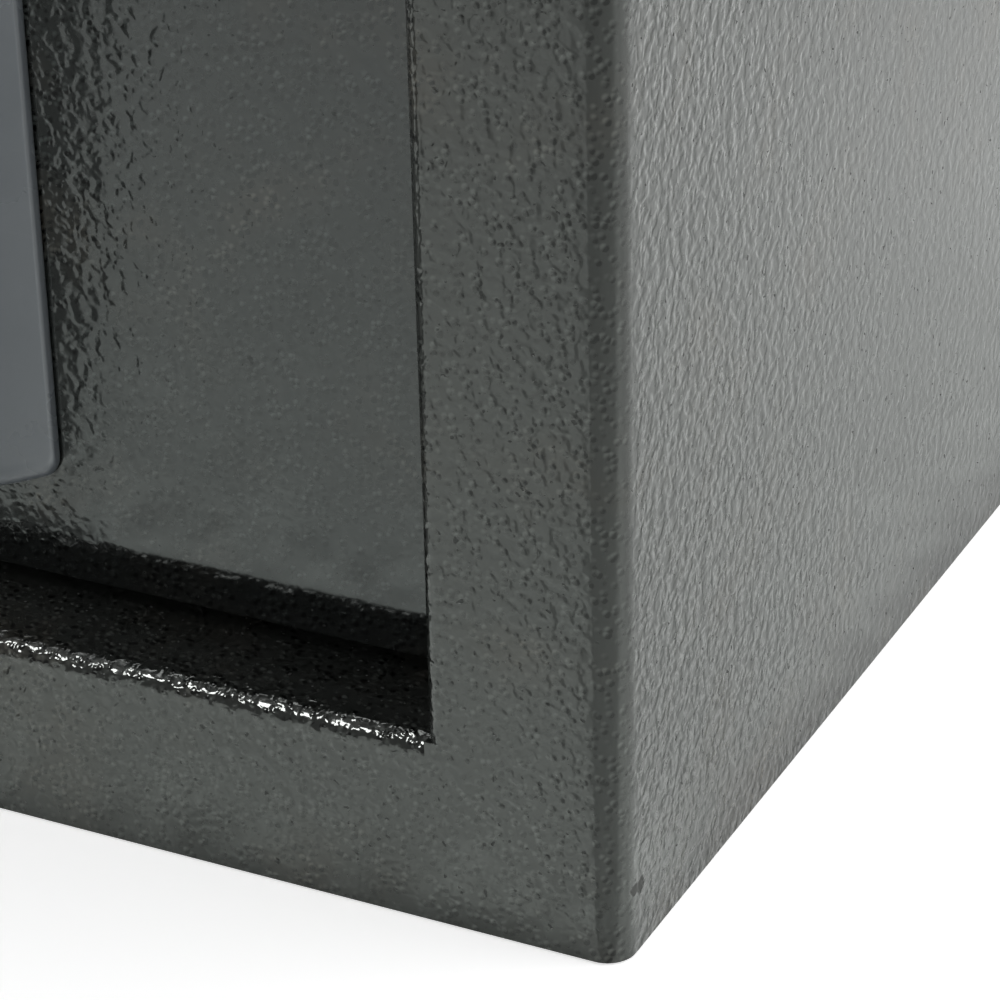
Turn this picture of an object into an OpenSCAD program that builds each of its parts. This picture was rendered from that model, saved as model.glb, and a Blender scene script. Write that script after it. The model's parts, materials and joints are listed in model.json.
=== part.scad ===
// Free-standing drop safe: a sheet steel cabinet with a recessed vault door below and a deposit
// drawer above. The drawer's floor tips as the drawer closes, so that what lies on it slides down
// into the vault. Origin: centre of the footprint, on the floor. +X right, -Y front, +Z up.

/* [Cabinet] */
// Width of the cabinet, side to side
body_w = 350; // [340:1:420]
// Depth of the cabinet, front to back
body_d = 350; // [340:1:450]
// Height of the cabinet
body_h = 500; // [490:1:560]
// Thickness of the cabinet's sheet steel, and outer radius of its folded lips
sheet = 3; // [2:0.5:3.5]
// Width of the front frame's upright stiles
stile_w = 35; // [30:1:36]
// Height of the front frame's bottom, middle and top rails
rail_h = 34; // [30:1:36]
// Outer radius of the cabinet's folded front and top edges
bend_r = 5; // [4:0.5:7]
// Depth of the stiles' returns behind the front plane
stile_return = 25; // [24:1:26]
// Depth of the rails' returns behind the front plane
rail_return = 35; // [34:1:38]
// Height of the vault's door opening
vault_open_h = 262; // [258:1:270]
// Radius of the anchor holes
anchor_r = 6; // [4:0.5:7]
// Spacing of the floor anchor holes, side to side
floor_anchor_x = 220; // [180:5:240]
// Spacing of the floor anchor holes, front to back
floor_anchor_y = 200; // [160:5:220]
// Spacing of the back anchor holes, side to side
back_anchor_x = 200; // [160:5:220]
// Spacing of the back anchor holes, up and down
back_anchor_z = 120; // [100:5:140]
// Height of the back anchor holes' centre
back_anchor_mid = 170; // [150:5:180]

/* [Door] */
// Depth of the door and drawer faces behind the front plane
face_inset = 20; // [20:0.5:21]
// Thickness of the door plate and of the drawer front
door_t = 5; // [4:0.5:5]
// Gap above and below the door and the drawer front
end_gap = 3; // [2:0.5:4]
// Gap between a closed door or drawer front and the right stile
side_gap = 2.5; // [2:0.5:4]
// Gap between the door and the left stile, where it turns
hinge_gap = 4; // [4:0.5:5]
// Radius of the hinge pins
hinge_pin_r = 3; // [2:0.5:3]
// Height of the hinge pins' collars
collar_h = 2.7; // [1.5:0.1:2.8]
// Depth of the inner pan behind the door plate
pan_depth = 34; // [33:1:38]
// Thickness of the inner pan's sheet
pan_sheet = 1.5; // [1:0.25:2]

/* [Lock plate] */
// Width of the lock plate
plate_w = 122; // [116:1:130]
// Height of the lock plate over its arched ends
plate_h = 242; // [236:1:246]
// Thickness of the lock plate
plate_t = 2; // [1.5:0.25:2.5]
// Rise of the arch at each end
plate_rise = 13.5; // [11:0.5:16]
// Radius of the lock plate's corners
plate_corner_r = 5; // [3:0.5:8]
// Width of the rolled rim
plate_rim = 5; // [3:0.5:6]

/* [Keypad] */
// Width of a key
key_w = 20; // [17:0.5:21]
// Height of a key
key_h = 16; // [13:0.5:17]
// Distance between columns of keys
key_pitch_x = 26; // [25:0.5:27]
// Distance between rows of keys
key_pitch_z = 22; // [21:0.5:22]
// Height of the keypad's centre above the middle of the door
keypad_up = 48; // [47:0.5:49]
// How far a key stands proud of the lock plate
key_proud = 2.5; // [2:0.25:3]
// Travel of a key
key_travel = 1.2; // [0.8:0.1:1.4]
// Clearance between a key and its window
key_clear = 0.4; // [0.3:0.05:0.6]

/* [Knob and boltwork] */
// Diameter of the knob's skirt
knob_d = 46; // [40:1:48]
// Length of the knob
knob_len = 24; // [20:1:26]
// How far the knob's axis lies below the middle of the door
knob_down = 33; // [32:0.5:34]
// Radius of the knob's spindle
spindle_r = 4; // [3:0.25:4.5]
// Diameter of the lock bolts
bolt_d = 12; // [10:0.5:13]
// Throw of the lock bolts
bolt_throw = 14; // [10:1:14]
// Height of each lock bolt above or below the middle of the door
bolt_spread = 75; // [70:1:80]
// Tooth module of the pinion and the rack
tooth_module = 1.25; // [1.25:0.05:1.3]
// Number of teeth on the pinion
pinion_teeth = 16; // [14:1:18]
// Travel of the solenoid's plunger
plunger_travel = 6; // [4:0.5:6]
// Diameter of the plunger
plunger_d = 8; // [6:0.5:8]

/* [Override lock] */
// How far the override lock lies below the middle of the door
lock_down = 91; // [90:0.5:92]
// Diameter of the lock cylinder
cylinder_d = 16; // [14:0.5:18]
// Diameter of the turning plug
plug_d = 10; // [8:0.5:11]
// Diameter of the swinging key cover
cover_d = 22; // [20:1:24]

/* [Batteries] */
// Diameter of a cell
cell_d = 14.5; // [14:0.1:14.5]
// Length of a cell
cell_len = 50.5; // [48:0.5:51]

/* [Deposit drawer] */
// Travel of the drawer
drawer_travel = 150; // [130:5:150]
// Angle to which the floor tips when the drawer is closed
tip_angle = 25; // [18:1:26]
// Depth of the drawer's box behind its front
tray_depth = 164; // [164:1:170]
// Room between the drawer's side walls and the top of the drawer opening
tray_room = 21; // [16:1:30]
// Thickness of the drawer's sheet
tray_sheet = 1.5; // [1:0.25:1.5]
// Height of the floor's hinge above the drawer opening's lower edge
floor_up = 23; // [23:0.5:26]
// Radius of the floor rod
rod_r = 2.5; // [2:0.25:2.5]
// Diameter of the bow handle's bar
handle_d = 10; // [8:0.5:12]
// Distance between the handle's two fixings
handle_span = 128; // [96:1:160]
// Distance from the drawer front to the middle of the handle's bar
handle_out = 27; // [24:1:32]
// Pitch of the anti-fish teeth
fish_pitch = 10; // [8:1:14]
// Depth of the anti-fish teeth
fish_depth = 8; // [5:1:12]

/* [Hidden] */
$fn = 48;
// Clearance between pieces that sit close and don't bind
seat = 0.3;
// Radial clearance of a running fit
fit = 0.05;
half_w = body_w / 2;
front_y = -body_d / 2;
back_y = body_d / 2;
inner_x = half_w - sheet;
jamb_x = half_w - stile_w;
vault_z0 = rail_h;
vault_z1 = vault_z0 + vault_open_h;
bay_z0 = vault_z1 + rail_h;
bay_z1 = body_h - rail_h;
face_y = front_y + face_inset;
door_back = face_y + door_t;
door_z0 = vault_z0 + end_gap;
door_z1 = vault_z1 - end_gap;
door_mid = (vault_z0 + vault_z1) / 2;
door_x0 = -jamb_x + hinge_gap;
door_x1 = jamb_x - side_gap;

// Hinge of the door: blocks let into the plate's corners, on pins that stand on the rails' returns
hinge_x = -jamb_x + 9;
hinge_y = face_y + 6;
block_w = 11;
block_d = 11.5;
block_h = 14;
block_y1 = face_y + block_d;

// Lock plate and keypad
plate_y = face_y - plate_t;
arch_r = (plate_w * plate_w / 4 + plate_rise * plate_rise) / (2 * plate_rise);
keypad_z = door_mid + keypad_up;
lens_z = door_mid + 101;
lens_r = 2.5;
lens_pitch = 16;
housing_w = 3 * key_pitch_x + 4;
housing_h = 4 * key_pitch_z + 4;
housing_wall = 1.5;
housing_y1 = face_y + 7;
foot_lip = 1.2;
foot_t = 1.5;
foot_y = face_y + seat;
mat_top = foot_y + foot_t + key_travel + seat;
mat_t = 1.2;
dome_h = 1;
board_t = 1.6;
plug_x = key_pitch_x;
plug_up = 30;
plug_w = 12;
plug_h = 16;
stud_x = plate_w / 2 - 11;
stud_z = plate_h / 2 - 31;
stud_r = 2;

// Boltwork, in layers behind the door plate
knob_z = door_mid - knob_down;
knob_y = plate_y - 0.5;
pitch_r = tooth_module * pinion_teeth / 2;
bolt_y = door_back + 2 + bolt_d / 2;
bar_t = 8;
bar_y0 = bolt_y - bar_t / 2;
bar_y1 = bolt_y + bar_t / 2;
bolt_tip = jamb_x - 3.5;
bolt_len = 55;
bar_x1 = bolt_tip - bolt_len;
bar_x0 = bar_x1 - 20;
guide_x0 = jamb_x - 40;
guide_x1 = jamb_x - 28;
rack_pitch_z = knob_z - pitch_r;
rack_root_z = rack_pitch_z - 1.25 * tooth_module;
rack_bar_h = 8.4;
rack_z0 = rack_root_z - rack_bar_h;
plunger_x = 30;
lug_h = plunger_travel;
lug_w = 5;
lug_x0 = plunger_x - plunger_d / 2 - 0.5 - lug_w;
plunger_top = rack_z0 - lug_h - 0.5;

// Override lock, whose lever presses the plunger's release pin down
lock_z = door_mid - lock_down;
lever_angle = 35;
lever_turn = 90;
lever_half = 4;
lever_gap = 20;
lever_y0 = door_back + lever_gap;
lever_t = 2.5;
release_r = 1.5;
release_z = lock_z + plunger_x * tan(lever_angle) - (lever_half + release_r + seat) / cos(lever_angle);
lever_reach = plunger_x / cos(lever_angle) - 2;
plunger_collar_h = 3;
solenoid_top = lock_z;
solenoid_h = 30;
solenoid_w = 24;
cover_arm = cover_d / 2 + 2.5;

// Inner pan, cells and their lid
pan_y1 = door_back + pan_depth;
pan_x0 = -jamb_x + 32;
pan_x1 = jamb_x - 24;
pan_z0 = door_z0 + 4;
pan_z1 = door_z1 - 4;
post_x0 = pan_x0 + 8;
post_x1 = pan_x1 - 8;
post_z0 = pan_z0 + 8;
post_z1 = pan_z1 - 8;
post_r = 4;
screw_r = 1.6;
cell_box_wall = 2;
cell_box_w = 2 * cell_d + 2 * cell_box_wall + 1;
cell_box_d = cell_d + cell_box_wall + 2;
cell_box_h = 2 * cell_len + 2 * cell_box_wall + 1;
cell_x0 = pan_x0 + 8;
cell_z0 = door_mid - 15;
lid_t = 2;
lid_gap = seat;
reset_x = pan_x0 + 20;
reset_z = door_mid - 40;
reset_r = 4;

// Deposit drawer
deck_t = 2.5;
deck_z1 = bay_z0 - sheet;
deck_z0 = deck_z1 - deck_t;
hood_t = 2;
hood_y1 = 150;
rail_w = 10;
tray_x = jamb_x - rail_w - 6;
tray_z0 = bay_z0 + 17;
tray_z1 = bay_z1 - tray_room;
tray_y1 = door_back + tray_depth;
rail_z = tray_z1 - 15;
rail_y0 = front_y + 29;
rail_y1 = 138;
rail_half = 6;
runner_half = rail_half + seat;
floor_y = door_back + 7;
floor_z = bay_z0 + floor_up;
floor_half = tray_x - tray_sheet - 1;
floor_len = tray_depth - 8;
pin_reach = drawer_travel + 2;
pin_hold = 12;
slot_r = rod_r + 0.35;
cam_x0 = tray_x + 2;
cam_t = 3;
cam_x1 = cam_x0 + cam_t;
cam_web = 1.5;
cam_x2 = cam_x1 + cam_web;
bar_depth = 9;
bar_over = 6;
weld_gap = 0.05;
cam_y0 = front_y + stile_return + 1;
cam_foot = 110;
track_bow = 0.9;
teeth_h = 60;
drop_y0 = front_y + rail_return + 2;
drop_y1 = 70;
handle_z = (bay_z0 + bay_z1) / 2;
screw_in = 11;

KEYS = ["1", "2", "3", "4", "5", "6", "7", "8", "9", "star", "0", "hash"];

// A box between two limits on each axis
module block(x, y, z) {
    translate([x[0], y[0], z[0]]) cube([x[1] - x[0], y[1] - y[0], z[1] - z[0]]);
}

// Sweeps a profile drawn as (y, z) along X
module along_x(x0, x1) {
    translate([x0, 0, 0]) rotate([90, 0, 90]) linear_extrude(x1 - x0) children();
}

// Sweeps a profile drawn as (x, z) along Y
module along_y(y0, y1) {
    translate([0, y1, 0]) rotate([90, 0, 0]) linear_extrude(y1 - y0) children();
}

// A round bar or hole along Y
module rod_y(x, z, r, y0, y1) {
    along_y(y0, y1) translate([x, z]) circle(r = r);
}

// A round bar or hole along X
module rod_x(y, z, r, x0, x1) {
    along_x(x0, x1) translate([y, z]) circle(r = r);
}

// A rectangle with true round corners, about the origin
module round_rect(w, h, r) {
    square([w, h - 2 * r], center = true);
    square([w - 2 * r, h], center = true);
    for (sx = [-1, 1], sz = [-1, 1])
        translate([sx * (w / 2 - r), sz * (h / 2 - r)]) circle(r = r);
}

// Section of a folded lip: a plate runs down by drop, and its return runs back by depth
module lip_section(drop, depth) {
    translate([0, -drop]) square([sheet, drop - sheet]);
    translate([sheet, -sheet]) square([depth - sheet, sheet]);
    intersection() {
        translate([sheet, -sheet]) circle(r = sheet);
        translate([0, -sheet]) square(sheet);
    }
}

// The waste that rounds an outer corner at the origin, on the side of growing x and y
module corner_waste(r) {
    difference() {
        translate([-1, -1]) square(r + 1);
        translate([r, r]) circle(r = r);
    }
}

// The cabinet's outside, with its folded edges round
module envelope() {
    difference() {
        block([-half_w, half_w], [front_y, back_y], [0, body_h]);
        for (s = [-1, 1]) scale_x(s) {
            linear_extrude(body_h) translate([half_w, front_y]) mirror([1, 0]) corner_waste(bend_r);
            along_y(front_y, back_y) translate([half_w, body_h]) rotate(180) corner_waste(bend_r);
        }
        along_x(-half_w, half_w) translate([front_y, body_h]) mirror([0, 1]) corner_waste(bend_r);
    }
}

// Mirrors left for right where s is negative
module scale_x(s) {
    if (s < 0) mirror([1, 0, 0]) children();
    else children();
}

// Side sheet with its front stile, drawn for the right side
module side_sheet() {
    intersection() {
        envelope();
        difference() {
            union() {
                block([inner_x, half_w], [front_y, back_y], [0, body_h]);
                block([jamb_x, half_w], [front_y, front_y + sheet], [0, body_h]);
                for (z = [[vault_z0, vault_z1], [bay_z0, bay_z1]])
                    block([jamb_x, jamb_x + sheet], [front_y, front_y + stile_return], z);
            }
            for (z = [[vault_z0, vault_z1], [bay_z0, bay_z1]])
                translate([jamb_x, front_y, z[0]]) linear_extrude(z[1] - z[0]) corner_waste(sheet);
        }
    }
}

module side_right() {
    color("dimgray") side_sheet();
}

module side_left() {
    color("dimgray") mirror([1, 0, 0]) side_sheet();
}

module top_panel() {
    color("dimgray") intersection() {
        envelope();
        union() {
            block([-inner_x, inner_x], [front_y + sheet, back_y], [body_h - sheet, body_h]);
            along_x(-jamb_x, jamb_x) {
                translate([front_y, bay_z1]) mirror([0, 1]) lip_section(rail_h, rail_return);
                translate([front_y, body_h - sheet]) square([sheet, sheet]);
            }
        }
    }
}

module bottom_panel() {
    color("dimgray") difference() {
        union() {
            block([-inner_x, inner_x], [front_y + sheet, back_y - sheet], [0, sheet]);
            along_x(-jamb_x, jamb_x) translate([front_y, vault_z0]) lip_section(rail_h, rail_return);
        }
        for (sx = [-1, 1], sy = [-1, 1])
            translate([sx * floor_anchor_x / 2, sy * floor_anchor_y / 2, -1])
                cylinder(r = anchor_r, h = sheet + 2);
    }
}

module mid_rail() {
    half = rail_h / 2;
    color("dimgray") along_x(-jamb_x, jamb_x) {
        translate([front_y, bay_z0]) lip_section(half, rail_return);
        translate([front_y, vault_z1]) mirror([0, 1]) lip_section(half, rail_return);
    }
}

module back_panel() {
    color("dimgray") difference() {
        block([-inner_x, inner_x], [back_y - sheet, back_y], [0, body_h - sheet]);
        for (sx = [-1, 1], sz = [-1, 1])
            rod_y(sx * back_anchor_x / 2, back_anchor_mid + sz * back_anchor_z / 2, anchor_r,
                back_y - sheet - 1, back_y + 1);
    }
}

// Roof of the vault, open where deposits drop through
module vault_deck() {
    color("slategray") difference() {
        block([-inner_x, inner_x], [front_y + sheet, back_y - sheet], [deck_z0, deck_z1]);
        block([-cam_x2, cam_x2], [drop_y0, drop_y1], [deck_z0 - 1, deck_z1 + 1]);
    }
}

// Hood of the drawer's bay: two cheeks and a roof folded from one sheet
module drawer_bay() {
    y0 = front_y + stile_return;
    roof_z = bay_z1 + sheet;
    color("slategray") {
        for (s = [-1, 1]) scale_x(s)
            block([jamb_x, jamb_x + hood_t], [y0, hood_y1], [deck_z1, roof_z + hood_t]);
        block([-jamb_x, jamb_x], [y0, hood_y1], [roof_z, roof_z + hood_t]);
    }
}

// Middle of the floor's guide pin when the drawer is out by s
function pin_y(s) = floor_y - s + pin_reach * cos(tip_angle * (1 - s / drawer_travel));
function pin_z(s) = floor_z - pin_reach * sin(tip_angle * (1 - s / drawer_travel));
SLOT_STEPS = 24;
function slot_s(i) = drawer_travel * i / SLOT_STEPS;
function slot_dir(i) = let(
    a = max(i - 0.5, 0),
    b = min(i + 0.5, SLOT_STEPS),
    dy = pin_y(slot_s(b)) - pin_y(slot_s(a)),
    dz = pin_z(slot_s(b)) - pin_z(slot_s(a))
) [dy, dz] / norm([dy, dz]);
function slot_side(i, side) = let(d = slot_dir(i))
    [pin_y(slot_s(i)) - side * slot_r * d[1], pin_z(slot_s(i)) + side * slot_r * d[0]];

// A point beside the track at an end, drawn out along it by over and up from it by rise
function track_end(i, over, rise) = let(d = slot_dir(i), way = i == 0 ? -1 : 1)
    [pin_y(slot_s(i)) + way * over * d[0] + rise * d[1],
        pin_z(slot_s(i)) + way * over * d[1] - rise * d[0]];

// Lower bar of the track: its top follows the guide pin's path
module lower_bar() {
    polygon(concat(
        [track_end(0, bar_over, -slot_r)],
        [for (i = [0 : SLOT_STEPS]) slot_side(i, 1)],
        [track_end(SLOT_STEPS, bar_over, -slot_r),
            track_end(SLOT_STEPS, bar_over, -slot_r - bar_depth),
            track_end(0, bar_over, -slot_r - bar_depth)]));
}

// Upper bar of the track: straight, and just clear of the path where it bows up most
module upper_bar() {
    low = slot_r + track_bow;
    polygon([
        track_end(0, bar_over, low), track_end(SLOT_STEPS, bar_over, low),
        track_end(SLOT_STEPS, bar_over, low + bar_depth), track_end(0, bar_over, low + bar_depth)]);
}

// Track beside the drawer that tips its floor: two bars welded to a web, whose foot stands on the
// deck, drawn for the right side
module cam_plate() {
    rear = track_end(0, bar_over, 0);
    head = track_end(SLOT_STEPS, bar_over, 0);
    reach = slot_r + bar_depth;
    along_x(cam_x0, cam_x1 - weld_gap) intersection() {
        union() {
            lower_bar();
            upper_bar();
        }
        translate([cam_y0, 0]) square([body_d, body_h]);
    }
    along_x(cam_x1, cam_x2) polygon([
        [drop_y0 + seat, head[1] + reach], [drop_y0 + seat, deck_z0 - 2],
        [rear[0] - reach, rear[1] - reach], [rear[0], rear[1] - reach],
        [rear[0], rear[1] + reach], [head[0] + reach, head[1] + reach]]);
    block([cam_x2, jamb_x - 1], [drop_y0 + seat, cam_y0 + cam_foot], [deck_z1, deck_z1 + 2]);
}

module cam_plate_right() {
    color("silver") cam_plate();
}

module cam_plate_left() {
    color("silver") mirror([1, 0, 0]) cam_plate();
}

// Fixed channels in which the drawer's rails run
module runners() {
    lip = 2;
    color("silver") for (s = [-1, 1]) scale_x(s) difference() {
        block([cam_x0, jamb_x], [rail_y0 - 2, rail_y1 + 4],
            [rail_z - runner_half - lip, rail_z + runner_half + lip]);
        block([cam_x0 - 1, jamb_x - 3], [rail_y0 - 3, rail_y1 + 1],
            [rail_z - runner_half, rail_z + runner_half]);
    }
}

// Saw-toothed plate under the deck, behind the drop opening
module anti_fish_teeth() {
    half = cam_x0 - 1;
    y0 = drop_y1 + 2;
    low_z = deck_z0 - teeth_h;
    count = floor(2 * half / fish_pitch);
    first = -count * fish_pitch / 2;
    color("silver") {
        along_y(y0, y0 + 2.5) polygon(concat(
            [[half, deck_z0], [-half, deck_z0], [-half, low_z]],
            [for (i = [0 : count - 1], k = [0, 1])
                [first + (i + k * 0.7) * fish_pitch, low_z - k * fish_depth]],
            [[half, low_z]]));
        block([-half, half], [y0 + 2.5, y0 + 18], [deck_z0 - 2.5, deck_z0]);
    }
}

// Fixed pins with a bearing collar, one on the bottom rail and one under the middle rail
module hinge_pins() {
    color("silver") for (m = [0, 1])
        translate([hinge_x, hinge_y, m == 0 ? vault_z0 : vault_z1]) mirror([0, 0, m]) {
            cylinder(r = hinge_pin_r + 2.2, h = collar_h);
            cylinder(r = hinge_pin_r, h = end_gap + block_h - 2);
        }
}

module hinge_blocks() {
    color("dimgray") for (m = [0, 1])
        translate([0, 0, m == 0 ? door_z0 : door_z1]) mirror([0, 0, m]) difference() {
            block([door_x0, door_x0 + block_w], [face_y, block_y1], [0, block_h]);
            translate([hinge_x, hinge_y, -1])
                cylinder(r = hinge_pin_r + fit, h = block_h + 2);
        }
}

module door_plate() {
    color("dimgray") difference() {
        block([door_x0, door_x1], [face_y, door_back], [door_z0, door_z1]);
        for (z = [[door_z0 - 1, door_z0 + block_h], [door_z1 - block_h, door_z1 + 1]])
            block([door_x0 - 1, door_x0 + block_w], [face_y - 1, door_back + 1], z);
        along_y(face_y - 1, door_back + 1)
            translate([0, keypad_z]) square([housing_w + 0.6, housing_h + 0.6], center = true);
        rod_y(0, knob_z, 7 + fit, face_y - 1, door_back + 1);
        rod_y(0, lock_z, cylinder_d / 2 + seat, face_y - 1, door_back + 1);
        for (i = [-1 : 1]) rod_y(i * lens_pitch, lens_z, lens_r + seat, face_y - 1, door_back + 1);
        for (sx = [-1, 1], sz = [-1, 1])
            rod_y(sx * stud_x, door_mid + sz * stud_z, stud_r + seat, face_y - 1, door_back + 1);
    }
}

// Points of an arc, from angle a to angle b
function arc_points(c, r, a, b, n) = [for (i = [0 : n])
    c + r * [cos(a + (b - a) * i / n), sin(a + (b - a) * i / n)]];

// Outline of the lock plate, drawn in by an inset: straight sides, arched ends, round corners
module plate_outline(inset) {
    big = arch_r - inset;
    small = max(plate_corner_r - inset, 0.5);
    cx = plate_w / 2 - inset - small;
    lift = plate_h / 2 - arch_r;
    cz = lift + sqrt((big - small) * (big - small) - cx * cx);
    turn = atan2(cz - lift, cx);
    upper = concat(
        arc_points([cx, cz], small, 0, turn, 8),
        arc_points([0, lift], big, turn, 180 - turn, 24),
        arc_points([-cx, cz], small, 180 - turn, 180, 8));
    polygon(concat(upper, [for (p = upper) -p]));
}

// One layer of the lock plate's rim: its height above the door and how far it is drawn in
module plate_layer(rise, inset) {
    along_y(face_y - rise, face_y - rise + 0.05) translate([0, door_mid]) plate_outline(inset);
}

module lock_plate() {
    color("lightslategray") {
        difference() {
            hull() {
                plate_layer(0.05, 0);
                plate_layer(plate_t * 0.35, 0.35);
                plate_layer(plate_t * 0.7, plate_rim * 0.3);
                plate_layer(plate_t * 0.9, plate_rim * 0.62);
                plate_layer(plate_t, plate_rim);
            }
            along_y(plate_y - 1, face_y + 1)
                for (col = [-1 : 1], row = [-1.5 : 1.5])
                    translate([col * key_pitch_x, keypad_z + row * key_pitch_z])
                        round_rect(key_w + 2 * key_clear, key_h + 2 * key_clear, 3);
            rod_y(0, knob_z, spindle_r + 0.4, plate_y - 1, face_y + 1);
            rod_y(0, lock_z, cylinder_d / 2 + seat, plate_y - 1, face_y + 1);
            for (i = [-1 : 1]) rod_y(i * lens_pitch, lens_z, lens_r + 0.1, plate_y - 1, face_y + 1);
        }
        for (sx = [-1, 1], sz = [-1, 1])
            rod_y(sx * stud_x, door_mid + sz * stud_z, stud_r, face_y, door_back + 6);
        rod_y(0, lock_z + cover_arm, 1.5, plate_y - 4.6, plate_y);
    }
}

// Nuts on the lock plate's studs, and the pan's four screws
module door_fasteners() {
    color("silver") {
        for (sx = [-1, 1], sz = [-1, 1]) difference() {
            along_y(door_back, door_back + 3.2)
                translate([sx * stud_x, door_mid + sz * stud_z]) circle(r = 4, $fn = 6);
            rod_y(sx * stud_x, door_mid + sz * stud_z, stud_r + fit, door_back - 1, door_back + 5);
        }
        for (x = [post_x0, post_x1], z = [post_z0, post_z1]) {
            rod_y(x, z, screw_r, pan_y1 - pan_sheet - 8, pan_y1);
            translate([x, pan_y1, z]) rotate([-90, 0, 0]) intersection() {
                cylinder(r = 3.5, h = 2.2);
                translate([0, 0, -1.8]) sphere(r = 4);
            }
        }
    }
}

// Shallow tray behind the lock plate that holds the keys
module keypad_housing() {
    y1 = housing_y1;
    color("dimgray") difference() {
        along_y(face_y, y1) translate([0, keypad_z]) square([housing_w, housing_h], center = true);
        along_y(face_y - 1, y1 - housing_wall) translate([0, keypad_z])
            square([housing_w - 2 * housing_wall, housing_h - 2 * housing_wall], center = true);
    }
}

// Rubber mat with one dome under each key
module keypad_mat() {
    base_y = housing_y1 - housing_wall - mat_t;
    color("gainsboro") {
        along_y(base_y, base_y + mat_t) translate([0, keypad_z])
            square([housing_w - 2 * housing_wall - 1, housing_h - 2 * housing_wall - 1], center = true);
        for (col = [-1 : 1], row = [-1.5 : 1.5])
            rod_y(col * key_pitch_x, keypad_z + row * key_pitch_z, 4,
                max(mat_top, base_y - dome_h), base_y);
    }
}

module circuit_board() {
    y0 = housing_y1;
    color("darkgreen") {
        along_y(y0, y0 + board_t) translate([0, keypad_z])
            square([housing_w + 4, housing_h + 6], center = true);
        block([-12, 10], [y0 + board_t, y0 + board_t + 2.2], [keypad_z - 9, keypad_z + 9]);
        translate([plug_x, 0, keypad_z + plug_up])
            block([-plug_w / 2, plug_w / 2], [y0 + board_t, y0 + board_t + 5], [-plug_h / 2, plug_h / 2]);
        for (i = [0 : 3])
            rod_y(-30, keypad_z - 27 + 14 * i, 3.5, y0 + board_t, y0 + board_t + 7);
    }
}

module indicator_lenses() {
    color("seagreen") for (i = [-1 : 1]) {
        rod_y(i * lens_pitch, lens_z, lens_r, plate_y - 0.2, door_back + 1);
        rod_y(i * lens_pitch, lens_z, lens_r + 1, door_back, door_back + 3);
        translate([i * lens_pitch, plate_y + 1.1, lens_z]) sphere(r = lens_r);
    }
}

// Flanged bush that carries the spindle in the door plate
module spindle_bush() {
    color("goldenrod") difference() {
        union() {
            rod_y(0, knob_z, 7, face_y, door_back);
            rod_y(0, knob_z, 10, door_back, door_back + 2);
        }
        rod_y(0, knob_z, spindle_r + fit, face_y - 1, door_back + 3);
    }
}

module lock_cylinder() {
    color("silver") difference() {
        union() {
            rod_y(0, lock_z, cylinder_d / 2 + 2, plate_y - 1, plate_y);
            rod_y(0, lock_z, cylinder_d / 2, plate_y, lever_y0 - 0.5);
            rod_y(0, lock_z, cylinder_d / 2 + 3, door_back, door_back + 4);
        }
        rod_y(0, lock_z, plug_d / 2 + fit, plate_y - 2, lever_y0);
    }
}

// Turning plug with its keyway and a neck for the lever
module lock_plug() {
    color("goldenrod") difference() {
        union() {
            rod_y(0, lock_z, plug_d / 2, plate_y - 1.2, lever_y0 - 0.2);
            rod_y(0, lock_z, 3, lever_y0 - 0.2, lever_y0 + lever_t + 1);
        }
        block([-0.7, 0.7], [plate_y - 3, plate_y + 9], [lock_z - 3.6, lock_z + 3.4]);
        block([-1.5, 1.5], [plate_y - 3, plate_y + 9], [lock_z + 1.2, lock_z + 2.4]);
    }
}

// Lever on the plug's neck, drawn at rest, turned back from its pressing angle
module override_lever() {
    turned = lever_angle + lever_turn;
    color("silver") along_y(lever_y0, lever_y0 + lever_t) translate([0, lock_z]) difference() {
        union() {
            circle(r = 7);
            rotate(turned) translate([0, -lever_half]) square([lever_reach, 2 * lever_half]);
            rotate(turned) translate([lever_reach, 0]) circle(r = lever_half);
        }
        circle(r = 3 + fit);
    }
}

// Round cover that hangs from a rivet over the keyway
module key_cover() {
    y0 = plate_y - 4.2;
    y1 = plate_y - 1.6;
    color("lightslategray") difference() {
        along_y(y0, y1) translate([0, lock_z]) {
            circle(r = cover_d / 2);
            translate([-4, 0]) square([8, cover_arm]);
            translate([0, cover_arm]) circle(r = 4);
        }
        rod_y(0, lock_z + cover_arm, 1.5 + fit, y0 - 1, y1 + 1);
    }
}

module bolt_guides() {
    color("dimgray") for (s = [-1, 1]) difference() {
        block([guide_x0, guide_x1], [door_back, bolt_y + bolt_d / 2 + 3],
            [door_mid + s * bolt_spread - bolt_d / 2 - 4, door_mid + s * bolt_spread + bolt_d / 2 + 4]);
        rod_x(bolt_y, door_mid + s * bolt_spread, bolt_d / 2 + fit, guide_x0 - 1, guide_x1 + 1);
    }
}

module lock_bolts() {
    color("silver") for (s = [-1, 1])
        translate([bar_x1, bolt_y, door_mid + s * bolt_spread]) rotate([0, 90, 0])
            rotate_extrude() polygon([
                [0, 0], [bolt_d / 2, 0], [bolt_d / 2, bolt_len - 1.5],
                [bolt_d / 2 - 1.5, bolt_len], [0, bolt_len]]);
}

// Involute gear teeth
PRESSURE = 20;
TOOTH_SLACK = 0.012;
base_r = pitch_r * cos(PRESSURE);
tip_r = pitch_r + tooth_module * 0.95;
root_r = pitch_r - 1.25 * tooth_module;
function involute(r) = let(a = acos(min(1, base_r / r))) tan(a) - a * PI / 180;
function tooth_half(r) = (PI / 2 / pinion_teeth - TOOTH_SLACK + involute(pitch_r)
    - involute(max(r, base_r))) * 180 / PI;
function gear_point(r, angle) = r * [cos(angle), sin(angle)];

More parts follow.
